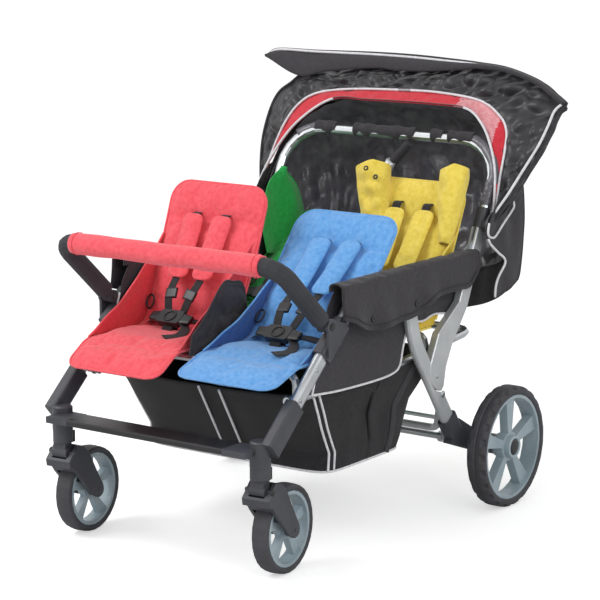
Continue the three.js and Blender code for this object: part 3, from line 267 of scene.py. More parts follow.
# %% [markdown]
# ## Light and floor
# The photograph is a plain studio picture: soft light from all sides, a little more from the left and
# above, on white. The world and two large area lamps give that light. White for the camera alone comes
# from Light Path, so that it adds nothing to the object, and the floor keeps the shadow.

# %% Light and floor
world = bpy.data.worlds.new("studio")
bpy.context.scene.world = world
world.use_nodes = True
sky = world.node_tree
sky.nodes.clear()
ray = add(sky, "LightPath")
seen = add(sky, "Math", {0: ray.outputs["Is Camera Ray"], 1: ray.outputs["Is Glossy Ray"]},
           operation="MAXIMUM")
seen_through = add(sky, "Math", {0: seen.outputs["Value"], 1: ray.outputs["Is Transmission Ray"]},
                   operation="MAXIMUM")
strength = add(sky, "MapRange", {"Value": seen_through.outputs["Value"], "To Min": 0.62, "To Max": 1.0})
glow = add(sky, "Background", {"Color": (1.0, 1.0, 1.0, 1.0), "Strength": strength.outputs["Result"]})
add(sky, "OutputWorld", {"Surface": glow.outputs["Background"]})


def lamp(name, position, target, size, watts):
    """A square area lamp at a place in metres, turned to its target."""
    data = bpy.data.lights.new(name, "AREA")
    data.size, data.energy = size, watts
    made = bpy.data.objects.new(name, data)
    bpy.context.collection.objects.link(made)
    made.location = position
    made.rotation_euler = (Vector(target) - Vector(position)).to_track_quat("-Z", "Y").to_euler()
    return made


lamp("key_softbox", (-1.6, -2.2, 2.8), (0.0, 0.0, 0.4), 1.8, 62.0)
lamp("side_softbox", (2.8, -1.2, 1.8), (0.0, 0.0, 0.4), 1.6, 26.0)

floor_finish, floor_tree, floor_shader = new_finish(
    "studio_floor_white", Roughness=0.9, Base_Color=(0.8, 0.8, 0.8, 1.0), Specular_IOR_Level=0.1)
floor_ray = add(floor_tree, "LightPath")
lift = add(floor_tree, "MapRange", {"Value": floor_ray.outputs["Is Camera Ray"], "To Min": 0.0,
                                    "To Max": 0.52})
floor_glow = add(floor_tree, "Emission", {"Color": (1.0, 1.0, 1.0, 1.0), "Strength": lift.outputs["Result"]})
both = add(floor_tree, "AddShader", {0: floor_shader.outputs["BSDF"], 1: floor_glow.outputs["Emission"]})
floor_tree.links.new(both.outputs["Shader"], floor_tree.nodes["Material Output"].inputs["Surface"])
floor_mesh = bpy.data.meshes.new("floor")
reach = 30
floor_mesh.from_pydata([(-reach, -reach, 0), (reach, -reach, 0), (reach, reach, 0), (-reach, reach, 0)], [],
                       [(0, 1, 2, 3)])
floor_mesh.materials.append(floor_finish)
floor = bpy.data.objects.new("floor", floor_mesh)
bpy.context.collection.objects.link(floor)
bpy.context.scene.view_settings.view_transform = "Standard"
print("studio ready")

# %% [markdown]
# ## Surfaces from grids
# A piece of cloth, a tube and a pad are all grids of points: neighbours in the grid are joined by
# faces. They could be modelled by hand, but a formula keeps each one true to its measured sizes. The UV
# map is the length along the rows and columns, so a weave keeps its scale on every piece.

# %% Surfaces from grids


def surface(name, grid, finish, around=False, capped=False, thick=0.0):
    """A mesh over a grid of points in mm, rows by columns. around joins the last column to the first,
    capped closes the first and last rows at their middle, thick gives the sheet a wall in mm."""
    grid = np.asarray(grid, float)
    if capped:
        first, last = grid[:1].mean(axis=1, keepdims=True), grid[-1:].mean(axis=1, keepdims=True)
        grid = np.concatenate([np.repeat(first, grid.shape[1], 1), grid, np.repeat(last, grid.shape[1], 1)])
    rows, columns = grid.shape[:2]
    across = columns if around else columns - 1
    i, j = np.meshgrid(np.arange(rows - 1), np.arange(across), indexing="ij")
    following = (j + 1) % columns
    faces = np.stack([i * columns + j, i * columns + following,
                      (i + 1) * columns + following, (i + 1) * columns + j], -1)
    mesh = bpy.data.meshes.new(name)
    mesh.from_pydata(place(grid.reshape(-1, 3)).tolist(), [], faces.reshape(-1, 4).tolist())
    wrapped = np.concatenate([grid, grid[:, :1]], 1) if around else grid
    along_row = np.linalg.norm(np.diff(wrapped, axis=1), axis=2)
    along_column = np.linalg.norm(np.diff(wrapped, axis=0), axis=2)
    u = np.concatenate([np.zeros((rows, 1)), np.cumsum(along_row, 1)], 1) / 1000
    v = np.concatenate([np.zeros((1, across + 1)), np.cumsum(along_column, 0)], 0) / 1000
    corners = [(i, j), (i, j + 1), (i + 1, j + 1), (i + 1, j)]
    uv = np.stack([np.stack([u[a, b], v[a, b]], -1) for a, b in corners], 2)
    mesh.uv_layers.new(name="UVMap").data.foreach_set("uv", uv.reshape(-1))
    # points that fall together, as at a cap's middle, are merged before the faces are turned outwards
    work = bmesh.new()
    work.from_mesh(mesh)
    bmesh.ops.remove_doubles(work, verts=work.verts, dist=1e-6)
    bmesh.ops.recalc_face_normals(work, faces=work.faces)
    work.to_mesh(mesh)
    work.free()
    mesh.polygons.foreach_set("use_smooth", np.ones(len(mesh.polygons), bool))
    mesh.materials.append(finish)
    made = bpy.data.objects.new(name, mesh)
    bpy.context.collection.objects.link(made)
    if thick:
        wall = made.modifiers.new("wall", "SOLIDIFY")
        wall.thickness, wall.offset = thick / 1000, 0.0
    return made


# %% [markdown]
# ## Lines, circles and folds
# Most shapes below start from a few measured places. A smooth line runs through them, a strip is filled
# in between two lines, and waves in random directions give cloth its folds.

# %% Lines, circles and folds


def xyz(x, y, z):
    """Places from x, y and z, each a number or an array: all three are stretched to one shape."""
    return np.stack(np.broadcast_arrays(*(np.asarray(values, float) for values in (x, y, z))), -1)


def curve(points, count):
    """A smooth line through the points: on each span the cubic whose slope at a point is half the step
    between its neighbours, at count even steps."""
    p = np.asarray(points, float)
    p = np.concatenate([2 * p[:1] - p[1:2], p, 2 * p[-1:] - p[-2:-1]])
    t = np.linspace(0, len(p) - 3, count)
    k = np.minimum(t.astype(int), len(p) - 4)
    f = (t - k)[:, None]
    a, b, c, d = p[k], p[k + 1], p[k + 2], p[k + 3]
    return b + f / 2 * (c - a + f * (2 * a - 5 * b + 4 * c - d + f * (3 * (b - c) + d - a)))


def even(points, count):
    """A smooth line through the points, at count places evenly spaced along it."""
    fine = curve(points, 600)
    along = np.concatenate([[0], np.cumsum(np.linalg.norm(np.diff(fine, axis=0), axis=1))])
    at = np.linspace(0, along[-1], count)
    return np.stack([np.interp(at, along, fine[:, k]) for k in range(fine.shape[1])], -1)


def between(first, second, shares):
    """Rows of places from one line to another: first times (1 - v) plus second times v, a row for each v."""
    v = np.reshape(shares, (-1, 1, 1))
    return first[None] * (1 - v) + second[None] * v


def turns(count):
    """The angles of a full turn in count steps, without its end, where it starts again."""
    return np.linspace(0, 2 * np.pi, count + 1)[:-1]


def circle(centre, along, across, radius, count):
    """A closed circle: centre + radius (cos a along + sin a across), whose last place is its first."""
    turn = np.linspace(0, 2 * np.pi, count)
    c, s = radius * np.cos(turn), radius * np.sin(turn)
    return np.asarray(centre) + np.outer(c, along) + np.outer(s, across)


def unit(vectors):
    """Vectors scaled to length 1."""
    return vectors / np.maximum(np.linalg.norm(vectors, axis=-1, keepdims=True), 1e-9)


def wrinkles(u, v, seed, size, count=20):
    """A sum of sine waves with random directions, phases and lengths about size: roughly from -1 to 1."""
    u, v = np.asarray(u, float)[..., None], np.asarray(v, float)[..., None]
    draw = np.random.default_rng(seed)
    way, phase = draw.uniform(0, 2 * math.pi, (2, count))
    rate = 2 * math.pi / size * draw.uniform(0.6, 1.5, count)
    return np.sin((u * np.cos(way) + v * np.sin(way)) * rate + phase).sum(-1) / math.sqrt(count)


# %% [markdown]
# ## Ropes and sheets
# Piping, webbing, bindings and sleeves are all a section carried along a line, so one function makes
# them. The size of a sheet's flat cut is printed, as its UV map gives it.

# %% Ropes and sheets


def rope(name, line, radii, finish, body=None, up_way=(0, 0, 1), sides=10, square=2.0):
    """A closed tube along a line of points, riding on a body: each ring is the line's point plus an oval,
    across and up, with half axes radii in mm. square above 2 makes the oval boxy, as on a strap."""
    line = np.asarray(line, float)
    ahead = unit(np.gradient(line, axis=0))
    across = unit(np.cross(ahead, np.broadcast_to(np.asarray(up_way, float), line.shape)))
    over = np.cross(across, ahead)
    radii = np.broadcast_to(np.asarray(radii, float), (len(line), 2))
    turn = np.arange(sides) * 2 * math.pi / sides + math.pi / sides
    c = np.sign(np.cos(turn)) * np.abs(np.cos(turn)) ** (2 / square)
    s = np.sign(np.sin(turn)) * np.abs(np.sin(turn)) ** (2 / square)
    ring = across[:, None] * (radii[:, :1] * c)[..., None] + over[:, None] * (radii[:, 1:] * s)[..., None]
    made = surface(name, line[:, None] + ring, finish, around=True, capped=True)
    if body:
        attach(made, body)
    return made


def cloth(made):
    """Print a sheet's flat cut: it is as long and wide as its UV map, and its area is the mesh's. A piece
    that fills under half of that rectangle is a triangle, so its width is twice its area over its length."""
    uv = np.zeros(2 * len(made.data.loops))
    made.data.uv_layers[0].data.foreach_get("uv", uv)
    width, length = uv.reshape(-1, 2).max(0)
    area = sum(face.area for face in made.data.polygons)
    width = min(width, 2 * area / length)
    print(made.name, "flat cut, mm:", round(width * 1000), "by", round(length * 1000))


print("helpers ready")

# %% [markdown]
# ## The frame in its real finishes
# The rigid parts are already exact in the CAD model, so they only need finishes. Each name below gives
# the parts that carry that finish. Soft parts get a plain cloth first, and a modelled piece later.

# %% Finishes of the CAD parts
sides = {"left": -1, "right": 1}
dressed = [
    (aluminium, ["side_frame_", "handle_bar", "rear_axle", "seat_frame", "brake_bar"]),
    (silver_coat, ["handle_link_", "rear_frame"]),
    (graphite, ["castor_housing_", "castor_yoke_", "fork_", "bumper_clamp_", "hub_bracket_", "hood_clamp_"]),
    (black_nylon, ["front_crossbar", "swivel_lock_", "bumper_button_", "buckle_"]),
    (rubber, ["front_tyre_", "rear_tyre_"]),
    (wheel_nylon, ["front_rim_", "rear_rim_"]),
    (foam, ["bumper_bar"]),
    (polyester, ["armrest_cover_", "centre_divider", "hood_shell", "centre_strut"]),
    (mesh_cloth, ["basket"]),
    (hood_cloth, ["hood_visor"]),
    (canvas["red"], ["bumper_sleeve"]),
]
cad_parts = [made for made in bpy.data.objects if made.type == "MESH" and made.name != "floor"]
for made in cad_parts:
    finish = next((finish for finish, starts in dressed if made.name.startswith(tuple(starts))), None)
    if made.name.startswith("seat_") and made.name != "seat_frame":
        finish = canvas[made.name.rsplit("_", 1)[1]]
    if finish is None:
        print("no finish for", made.name)
        continue
    made.data.materials.clear()
    made.data.materials.append(finish)
print(len(cad_parts), "CAD parts dressed")

# %% [markdown]
# ## Padded pieces
# A seat cushion is two layers of canvas with wadding between them, sewn together round the edge. A block
# with rounded edges would look hard, so each pad is a patch of points with a crown on both faces, closed
# at the seam. Blender's cloth simulation then fills it with air pressure while the seams are held: the
# cloth is cut a little large, so it puckers along the stitching as real wadding does.

# %% Padded pieces
stitch_depth_share, stitch_rows = 0.72, 1.4
held_share = 0.35
filling_steps = 20


def fill_with_air(made, held_places, grow, limit):
    """Cloth simulation in which the cut grows by the share grow and air presses it outwards, with the
    held places pinned. No point moves further than limit in mm."""
    mesh = made.data
    places = np.zeros(3 * len(mesh.vertices))
    mesh.vertices.foreach_get("co", places)
    places = places.reshape(-1, 3)
    keys = set(map(tuple, np.round(held_places, 5).tolist()))
    pinned = [k for k, key in enumerate(map(tuple, np.round(places, 5).tolist())) if key in keys]
    made.vertex_groups.new(name="seams").add(pinned, 1.0, "REPLACE")
    sim = made.modifiers.new("filling", "CLOTH")
    sim.settings.vertex_group_mass = "seams"
    sim.settings.use_pressure = True
    sim.settings.uniform_pressure_force = 4.0
    sim.settings.shrink_min = -grow
    sim.settings.quality = 4
    sim.settings.mass = 0.25
    sim.settings.tension_stiffness = sim.settings.compression_stiffness = 12.0
    sim.settings.bending_stiffness = 0.3
    sim.settings.effector_weights.gravity = 0.0
    sim.collision_settings.use_collision = False
    sim.point_cache.frame_start, sim.point_cache.frame_end = 1, filling_steps
    for step in range(1, filling_steps + 1):
        bpy.context.scene.frame_set(step)
    filled = made.evaluated_get(bpy.context.evaluated_depsgraph_get())
    after = np.zeros(3 * len(mesh.vertices))
    filled.data.vertices.foreach_get("co", after)
    made.modifiers.remove(sim)
    bpy.context.scene.frame_set(1)
    move = after.reshape(-1, 3) - places
    length = np.linalg.norm(move, axis=1, keepdims=True)
    move *= np.minimum(1.0, limit / 1000 / np.maximum(length, 1e-9))
    mesh.vertices.foreach_set("co", (places + move).reshape(-1))
    mesh.update()
    print(made.name, "moved up to mm:", round(float(length.max()) * 1000, 1))


def pillow(name, patch, front, back, finish, body, seams=(), grow=0.03, limit=9.0):
    """A patch of points crowned to both sides: at shares u and v across it the depth is
    sqrt((1 - |u|^4) (1 - |v|^4)), and each stitched line, given by its row share, pulls it in."""
    patch = np.asarray(patch, float)
    rows, columns = patch.shape[:2]
    normal = unit(np.cross(np.gradient(patch, axis=1), np.gradient(patch, axis=0)))
    v, u = np.meshgrid(np.linspace(-1, 1, rows), np.linspace(-1, 1, columns), indexing="ij")
    crown = np.sqrt((1 - u ** 4) * (1 - v ** 4))
    for seam in seams:
        crown = crown * (1 - stitch_depth_share * np.exp(-((v - seam) * rows / 2 / stitch_rows) ** 2))
    front_face = patch + normal * (crown * front)[..., None]
    back_face = patch - normal * (crown * back)[..., None]
    ring = np.concatenate([front_face, back_face[:, -2:0:-1]], 1)
    made = surface(name, ring, finish, around=True)
    # the held points are the outer seam and the stitched lines
    flat = crown < held_share
    held = np.concatenate([flat, flat[:, -2:0:-1]], 1)
    for seam in seams:
        held |= (np.abs(np.linspace(-1, 1, rows) - seam) < 2.2 / rows)[:, None]
    fill_with_air(made, place(ring[held]), grow, limit)
    rounding = made.modifiers.new("round", "SUBSURF")
    rounding.levels = rounding.render_levels = 1
    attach(made, body)
    return made


# %% [markdown]
# ## Seats
# Each seat has a back that reclines about a hinge behind the pan, a pan whose front end folds down as a
# calf flap, and a pair of shoulder pads. The four seats differ in colour, place and recline only, so one
# set of sizes serves them all. A place on a back is given by x from the seat's middle, s up the back
# from its hinge, and n out of its front face.

# %% Seat sizes
seat = {"width": 240.0, "top": 411.0, "pitch": 277.0, "hinge": 409.0}
back_round, flap_round = 44.0, 30.0
# both the back and the pan start 14 mm from the hinge
hinge_gap = 14.0
back_hollow, pan_hollow = 6.0, 3.0
back_length = {"red": 317.0, "blue": 320.0, "yellow": 315.0, "green": 300.0}
# the backs widen above the divider, towards the middle of the stroller
widening = 12.0
recline = {"red": 20.0, "blue": 40.0, "yellow": 25.0, "green": 54.0}
seat_side = {"red": -1, "blue": 1, "yellow": 1, "green": -1}
bight = {"red": 196.0, "blue": 196.0, "yellow": 530.0, "green": 530.0}
fold = {"red": 4.0, "blue": 34.0, "yellow": 350.0, "green": 350.0}
nose = {"red": -64.0, "blue": -56.0, "yellow": 262.0, "green": 262.0}
flap_drop = {"red": 44.0, "blue": 31.0, "yellow": 40.0, "green": 40.0}
fold_bend = 16.0
piping_radius = 2.6


def middle(colour):
    """The x of the middle of a seat."""
    return seat_side[colour] * seat["pitch"] / 2


def on_back(colour, x, s, n=0.0):
    """From x, s and n on a seat's back to a place: with the lean r, s runs along (0, sin r, cos r) and
    n along (0, -cos r, sin r)."""
    lean = math.radians(recline[colour])
    x, s, n = (np.asarray(values, float) for values in (x, s, n))
    return xyz(middle(colour) + x, bight[colour] + s * math.sin(lean) - n * math.cos(lean),
               seat["hinge"] + s * math.cos(lean) + n * math.sin(lean))


def rounded_half(s, half, top, radius):
    """Half the width of a panel at height s: full below the corners, and a quarter circle in them."""
    inside = np.clip(s - (top - radius), 0, radius)
    return half - radius + np.sqrt(radius ** 2 - inside ** 2)


def blend_at_hinge(made, colour):
    """Bake a piece's place into its mesh, where it rides on no body. The line halfway between pan and back
    is worked out, but the piece is not bent along it."""
    lean = math.radians(recline[colour])
    heading = np.array([0.0, math.sin(lean) + 1, math.cos(lean)])
    heading /= np.linalg.norm(heading)
    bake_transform(made)


# %% Backs, pans and flaps
for colour in canvas:
    half, away = seat["width"] / 2, seat_side[colour]
    # rows crowd towards the top, where the corners are round
    v, u = np.linspace(0, 1, 60), np.linspace(-1, 1, 44)
    s = hinge_gap + (back_length[colour] - hinge_gap) * (1 - (1 - v) ** 1.25)
    width = rounded_half(s, half, back_length[colour], back_round)
    hollow = back_hollow * (1 - u[None] ** 2) * np.sin(np.pi * v)[:, None]
    inward = away * widening * np.clip((s - 50) / 120, 0, 1)[:, None]
    patch = on_back(colour, width[:, None] * u[None] - inward * (1 - away * u[None]) / 2, s[:, None], -hollow)
    back = pillow(f"back_pad_{colour}", patch[:, ::-1], 10.0, 9.0, canvas[colour], f"back_{colour}",
                  seams=(0.31,))
    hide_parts(f"seat_back_{colour}")
    line = np.concatenate([patch[:, 0], patch[::-1, -1]])
    rope(f"back_piping_{colour}", line, piping_radius, canvas[colour], f"back_{colour}",
         up_way=(0, -1, 0.4), sides=8)

    # the pan runs level from the hinge to its fold, and the flap slopes down to the nose
    run = bight[colour] - hinge_gap - fold[colour]
    drop = math.hypot(fold[colour] - nose[colour], flap_drop[colour])
    length = run + drop
    t = np.linspace(0, length, 66)
    slope = np.array([nose[colour] - fold[colour], -flap_drop[colour]]) / drop
    # the fold is round: the slope grows evenly over twice the bend
    eased = np.clip(t - (run - fold_bend), 0, 2 * fold_bend) ** 2 / (4 * fold_bend)
    beyond = np.clip(t - run - fold_bend, 0, None)
    y = bight[colour] - hinge_gap - t + (1 + slope[0]) * eased + (1 + slope[0]) * beyond
    z = seat["top"] - 6 + slope[1] * eased + slope[1] * beyond
    width = rounded_half(t, half, length, flap_round)
    patch = xyz(middle(colour) + width[:, None] * u[None], y[:, None], z[:, None] + pan_hollow * u[None] ** 2)
    fold_share = 2 * run / length - 1
    pan = pillow(f"pan_pad_{colour}", patch, 9.0, 7.0, canvas[colour], "chassis", seams=(fold_share,))
    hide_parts(f"seat_{colour}")
    line = np.concatenate([patch[:, 0], patch[::-1, -1]])
    rope(f"pan_piping_{colour}", line, piping_radius, canvas[colour], "chassis", sides=8)

# %% Gussets between pan and back
gusset_half, gusset_fold = 118.0, 18
for colour in canvas:
    w = np.linspace(0, 1, 22)[:, None, None]
    x = gusset_half * np.linspace(-1, 1, 30)[None]
    # each column is a curve from the pan to the back that is drawn towards the hinge
    low = xyz(middle(colour) + x, bight[colour] - 30, seat["top"] - 1)
    high = on_back(colour, x, 30.0, 6.0)
    corner = xyz(middle(colour) + x, bight[colour] - 1, seat["hinge"] + 1)
    grid = low * (1 - w) ** 2 + 2 * corner * w * (1 - w) + high * w ** 2
    gusset = surface(f"gusset_{colour}", grid, canvas[colour], thick=3.0)
    blend_at_hinge(gusset, colour)
    cloth(gusset)

# %% [markdown]
# ## Side wings
# Between each pan and back hangs a triangle of thinner cloth that keeps a child's hands in. Its top edge
# runs straight from the back, 200 mm up, to the pan's front fold. The back reclines and the pan stays;
# the wing rides on neither of the two bodies, but is baked in place where it is made.

# %% Side wings
wing_top, wing_belly, wing_sag, wing_fold = 200.0, 7.0, 10.0, 30
for colour in canvas:
    for name, sign in sides.items():
        t, w = np.meshgrid(np.linspace(0, 1, 26), np.linspace(0, 1, 30), indexing="ij")
        x = sign * (seat["width"] / 2 - 1)
        up_back = on_back(colour, x, t * wing_top, 2.0)
        reach = bight[colour] - fold[colour] - 6
        on_pan = xyz(middle(colour) + x, bight[colour] - t * reach, seat["top"])
        grid = up_back * (1 - w)[..., None] + on_pan * w[..., None]
        # the cloth bellies in between its edges, and its top edge sags
        belly = np.sin(np.pi * w) * t
        folds = wrinkles(t * wing_top, w * 250, 30 + sign, 90.0)
        grid[..., 0] += sign * (-wing_belly * belly + 2.0 * folds * belly)
        grid[..., 2] -= wing_sag * belly * t
        grid[0] = grid[0].mean(0)
        # the wing is drawn in the seat's cotton darkened by painted shade
        wing = surface(f"wing_{colour}_{name}", grid, wing_canvas_painted_shade[colour], thick=2.0)
        blend_at_hinge(wing, colour)
        cloth(wing)
        trim = rope(f"wing_piping_{colour}_{name}", grid[-1], 2.2, canvas[colour], sides=8)
        blend_at_hinge(trim, colour)

# %% [markdown]
# ## Raised side cloths of the rear seats
# The wings of the two rear seats can be drawn up and tied to the hood's bow. On the yellow seat they
# stand as loose rolls beside the back, and on the green one as an upright triangle.

# %% Raised side cloths
green_x = -244
for name, foot, peak_at, radius, foot_share, seed in [("left", (-84, 205), (-110, 322), 42.0, 0.7, 150),
                                                      ("right", (104, 176), (96, 330), 34.0, 0.35, 151)]:
    v, turn = np.linspace(0, 1, 50)[:, None], turns(60)[None]
    wide = radius * (foot_share + (1 - foot_share) * v ** 0.7) + 2.0 * np.sin(4 * turn + 6 * v) * (0.3 + v)
    deep = 0.8 * radius * (0.5 + 0.5 * v) + 2.5 * wrinkles(180 * v, 40 * turn, seed, 60.0)
    slant = 16.0 * np.cos(turn - 0.8) * v ** 6
    x = foot[0] + (peak_at[0] - foot[0]) * v + wide * np.cos(turn)
    s = foot[1] + (peak_at[1] - foot[1]) * v + slant - 3.0 * np.abs(np.sin(2.5 * turn)) * v ** 8
    n = 12 + 16 * v + deep * np.sin(turn)
    roll = surface(f"raised_cloth_yellow_{name}", on_back("yellow", x, s, n), canvas["yellow"],
                   around=True, thick=1.6)
    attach(roll, "back_yellow")
    cloth(roll)
# two eyelets in the left one
eyelet_radius = 4.2
for number, (x, s) in enumerate([(-108, 314), (-82, 298)]):
    turn = np.linspace(0, 2 * np.pi, 25)
    ring = on_back("yellow", x + eyelet_radius * np.cos(turn), s + eyelet_radius * np.sin(turn),
                   62.0 - 6.0 * number)
    rope(f"eyelet_yellow_{number}", ring, 1.8, black_nylon, "back_yellow", up_way=(0, -1, 0.3), sides=8)
# the green one stands in a plane beside the back, in loose folds
left_edge = curve([(605, 506), (605, 566), (611, 631), (643, 670), (676, 696)], 40)
right_edge = curve([(745, 476), (765, 526), (772, 573), (745, 638), (691, 690)], 40)
v = np.linspace(0, 1, 34)
flat = between(left_edge, right_edge, v).transpose(1, 0, 2)
y, z = flat[..., 0], flat[..., 1]
folds = 7.0 * np.sin(2.2 * np.pi * v + z / 60) + 3.0 * wrinkles(y, z * 0.4, 155, 70.0)
flag = surface("raised_cloth_green", xyz(green_x + folds, y, z), canvas["green"], thick=1.6)
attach(flag, "back_green")
cloth(flag)

# %% [markdown]
# ## Harness
# Two padded straps come through slots in the back, lean forward off it and end in black webbing that
# meets at the buckle, together with two lap straps from the corners and a strap from the pan. A strap is
# a thin flat tube along a curve. The pads ride on the back; the shoulder webbing and its adjusters are
# baked in place on no body, as the wings are.

# %% Harness
buckle_ahead, buckle_lift, buckle_tilt = 56.0, 26.0, 35
pad_top, pad_length, pad_half, pad_round = 246, 146, 28.0, 18.0
# the pads stand 1 mm off the middle, and lean together a little on their way down
pad_top_x, pad_low_x, pad_shift = 38.0, 32.0, 1
slot_height = {"red": 250, "blue": 250, "yellow": 264, "green": 264}


def strap(name, points, count, radii, up_way, body=None):
    """Webbing: a flat tube with nearly square edges along a smooth line of count places."""
    return rope(name, curve(points, count), radii, webbing, body, up_way=up_way, sides=12, square=5)


for colour in canvas:
    lean, back = math.radians(recline[colour]), f"back_{colour}"
    centre = np.array([middle(colour), bight[colour] - buckle_ahead, seat["top"] + buckle_lift])
    way_out = (0.0, -math.cos(lean), math.sin(lean))
    for name, sign in sides.items():
        top_x, low_x = sign * pad_top_x + pad_shift, sign * pad_low_x + pad_shift
        v, u = np.linspace(0, 1, 34)[:, None], np.linspace(-1, 1, 12)[None]
        from_end = 150 * np.minimum(v, 1 - v)
        corner_part = np.clip(pad_round - from_end, 0, pad_round)
        half = pad_half - pad_round + np.sqrt(pad_round ** 2 - corner_part ** 2)
        x = top_x + (low_x - top_x) * v + half * u
        n = 16 + 26 * v ** 1.3 + 3 * (1 - u ** 2)
        pillow(f"shoulder_pad_{colour}_{name}", on_back(colour, x, pad_top - pad_length * v, n), 6.0, 5.0,
               canvas[colour], back, grow=0.02, limit=5.0)
        low = on_back(colour, low_x, 104, 40)
        knot = centre + np.array([sign * 17.0, 8.0, 9.0])
        points = [on_back(colour, low_x, 130, 36), low, low * 0.45 + knot * 0.55 + [sign * 4, -6, 6], knot]
        shoulder = strap(f"shoulder_strap_{colour}_{name}", points, 24, (9.5, 1.1), way_out)
        blend_at_hinge(shoulder, colour)
        # the webbing above the pad goes through a bound slot in the back
        slot = slot_height[colour]
        points = [on_back(colour, top_x, s, n) for s, n in [(230, 17), (slot - 8, 15), (slot, 3)]]
        strap(f"slot_strap_{colour}_{name}", points, 12, (10.5, 1.2), way_out, back)
        # the lap strap comes from the corner of pan and back
        corner = np.array([middle(colour) + sign * 96.0, bight[colour] - 12, seat["top"] + 9])
        points = [corner, corner * 0.6 + centre * 0.4 + [0, 4, 6], centre + [sign * 26, 2, 4]]
        strap(f"lap_strap_{colour}_{name}", points, 22, (11.5, 1.2), (0, -0.35, 1), "chassis")
        # a ladder lock on each shoulder strap
        midway = low * 0.5 + knot * 0.5 + np.array([0, -4, 6])
        line = midway + np.linspace(-11, 11, 8)[:, None] * unit(knot - low)
        lock = rope(f"strap_adjuster_{colour}_{name}", line, (14.0, 3.6), black_nylon, up_way=way_out,
                    sides=16, square=6)
        blend_at_hinge(lock, colour)
    # a ring round the release button, and the two plugs that go into the buckle
    tilt = math.radians(buckle_tilt)
    face_up = np.array([0.0, -math.sin(tilt), math.cos(tilt)])
    face_along = np.array([0.0, math.cos(tilt), math.sin(tilt)])
    ring = circle(centre + face_up * 15.6, (1.0, 0.0, 0.0), face_along, 13, 33)
    rope(f"buckle_ring_{colour}", ring, 2.0, black_nylon, "chassis", up_way=face_up, sides=8)
    for name, sign in sides.items():
        reach = np.linspace(sign * 27, sign * 52, 10)[:, None]
        line = centre + face_up * 8 + reach * np.array([1.0, 0.0, 0.0])
        taper = np.stack([np.linspace(15, 11, 10), np.linspace(6.5, 4.5, 10)], -1)
        rope(f"buckle_plug_{colour}_{name}", line, taper, black_nylon, "chassis", up_way=face_up,
             sides=16, square=4)
    # the crotch strap comes up out of the pan, and a loose end of the lap strap lies on it
    points = [centre + [0, -20, -buckle_lift - 6], centre + [0, -20, -14], centre + [0, -10, -2]]
    strap(f"crotch_strap_{colour}", points, 16, (13.0, 1.3), (0, -1, 0.3), "chassis")
    points = [centre + [24, 0, 2], centre + [50, -22, -8], centre + [62, -58, -buckle_lift + 12],
              centre + [50, -92, -buckle_lift + 13]]
    strap(f"strap_end_{colour}", points, 26, (10.0, 1.1), (0.3, 0, 1), "chassis")
    # an oval ring is sewn to one edge of the back
    turn = np.linspace(0, 2 * math.pi, 28)
    ring = on_back(colour, -104 + 9 * np.cos(turn), 46 + 15 * np.sin(turn), 18.0)
    rope(f"d_ring_{colour}", ring, 2.2, black_nylon, back, up_way=way_out, sides=8)
print("harness ready")

# %% [markdown]
# ## Bumper
# The foam of the bumper bar is the CAD part; the red sleeve is a tube of canvas that is closed with hook
# tape, so it is slightly loose. It is a rope with ripples round and along it.

# %% Bumper sleeve
bar_y, bar_z = -53.0, 618.0
sleeve_half, sleeve_radius, hem_radius = 237, 21.9, 22.9
x, turn = np.linspace(-sleeve_half, sleeve_half, 120)[:, None], turns(48)[None]
loose = sleeve_radius + 0.9 * wrinkles(x, 24 * np.sin(turn), 60, 110.0)
loose = loose * (1 - 0.05 * np.exp(-((sleeve_half - np.abs(x)) / 5) ** 2))
sleeve = surface("sleeve_cover", xyz(x, bar_y + loose * np.cos(turn), bar_z + loose * np.sin(turn)),
                 canvas["red"], around=True, capped=True)
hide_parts("bumper_sleeve")
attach(sleeve, "bumper")
# a hem is stitched 12 mm from each end
for name, sign in sides.items():
    ring = circle((sign * (sleeve_half - 12.0), bar_y, bar_z), (0, 1, 0), (0, 0, 1), hem_radius, 41)
    rope(f"sleeve_hem_{name}", ring, 0.8, canvas["red"], "bumper", up_way=(1, 0, 0), sides=6)

# %% [markdown]
# ## Hood
# The hood is carried by bows that lean about one pivot at each end. All its seams lie near planes
# through the line between the pivots, so a place on it is given by x, the distance h from that line, and
# the lean of its plane. From front to back there are: the peak, a gathered band below it, a red band
# between two white pipings, the crinkled lining that hangs inside, and the outer shell with its curtain.

# %% Hood places
pivot_y, pivot_z = 679.0, 599.0
rim_lean, band_lean, bow_lean, handle_lean = 30.0, 25.0, 20.0, 24.0
# the way that the hood's front faces
outward = np.array([0.0, -math.cos(math.radians(27)), math.sin(math.radians(27))])


def in_plane(x, h, lean):
    """A place h from the line between the pivots, in the plane that leans back by lean degrees."""
    lean = np.radians(lean)
    return xyz(x, pivot_y + h * np.sin(lean), pivot_z + h * np.cos(lean))


# x and h of each seam, from the left pivot over the top to the right one
rim_left = [(-300, 6), (-330, 60), (-352, 120), (-366, 180), (-369, 243), (-360, 285), (-336, 310)]
rim_top = [(-416, 372), (-392, 390), (-280, 391), (-119, 394), (-4, 393), (98, 388), (159, 384), (236, 376),
           (319, 352), (367, 326), (406, 302)]
rim_right = [(403, 296), (393, 280), (388, 242), (380, 200), (369, 165), (357, 128), (340, 77), (321, 31),
             (312, 8)]
band_outer = [(-316, 4), (-322, 60), (-316, 130), (-303, 200), (-276, 252), (-231, 281), (-146, 295),
              (-12, 301), (93, 301), (200, 289), (258, 258), (284, 225), (292, 180), (297, 110), (304, 50),
              (306, 8)]
band_inner = [(-318, 4), (-326, 55), (-303, 128), (-254, 204), (-173, 262), (-80, 266), (12, 267), (100, 267),
              (185, 262), (230, 232), (262, 187), (286, 132), (300, 60), (305, 8)]
crease = [(-414, 366), (-304, 322), (-226, 337), (-99, 352), (-36, 349), (42, 352), (114, 359), (170, 366),
          (240, 362), (319, 340), (367, 314), (402, 294)]

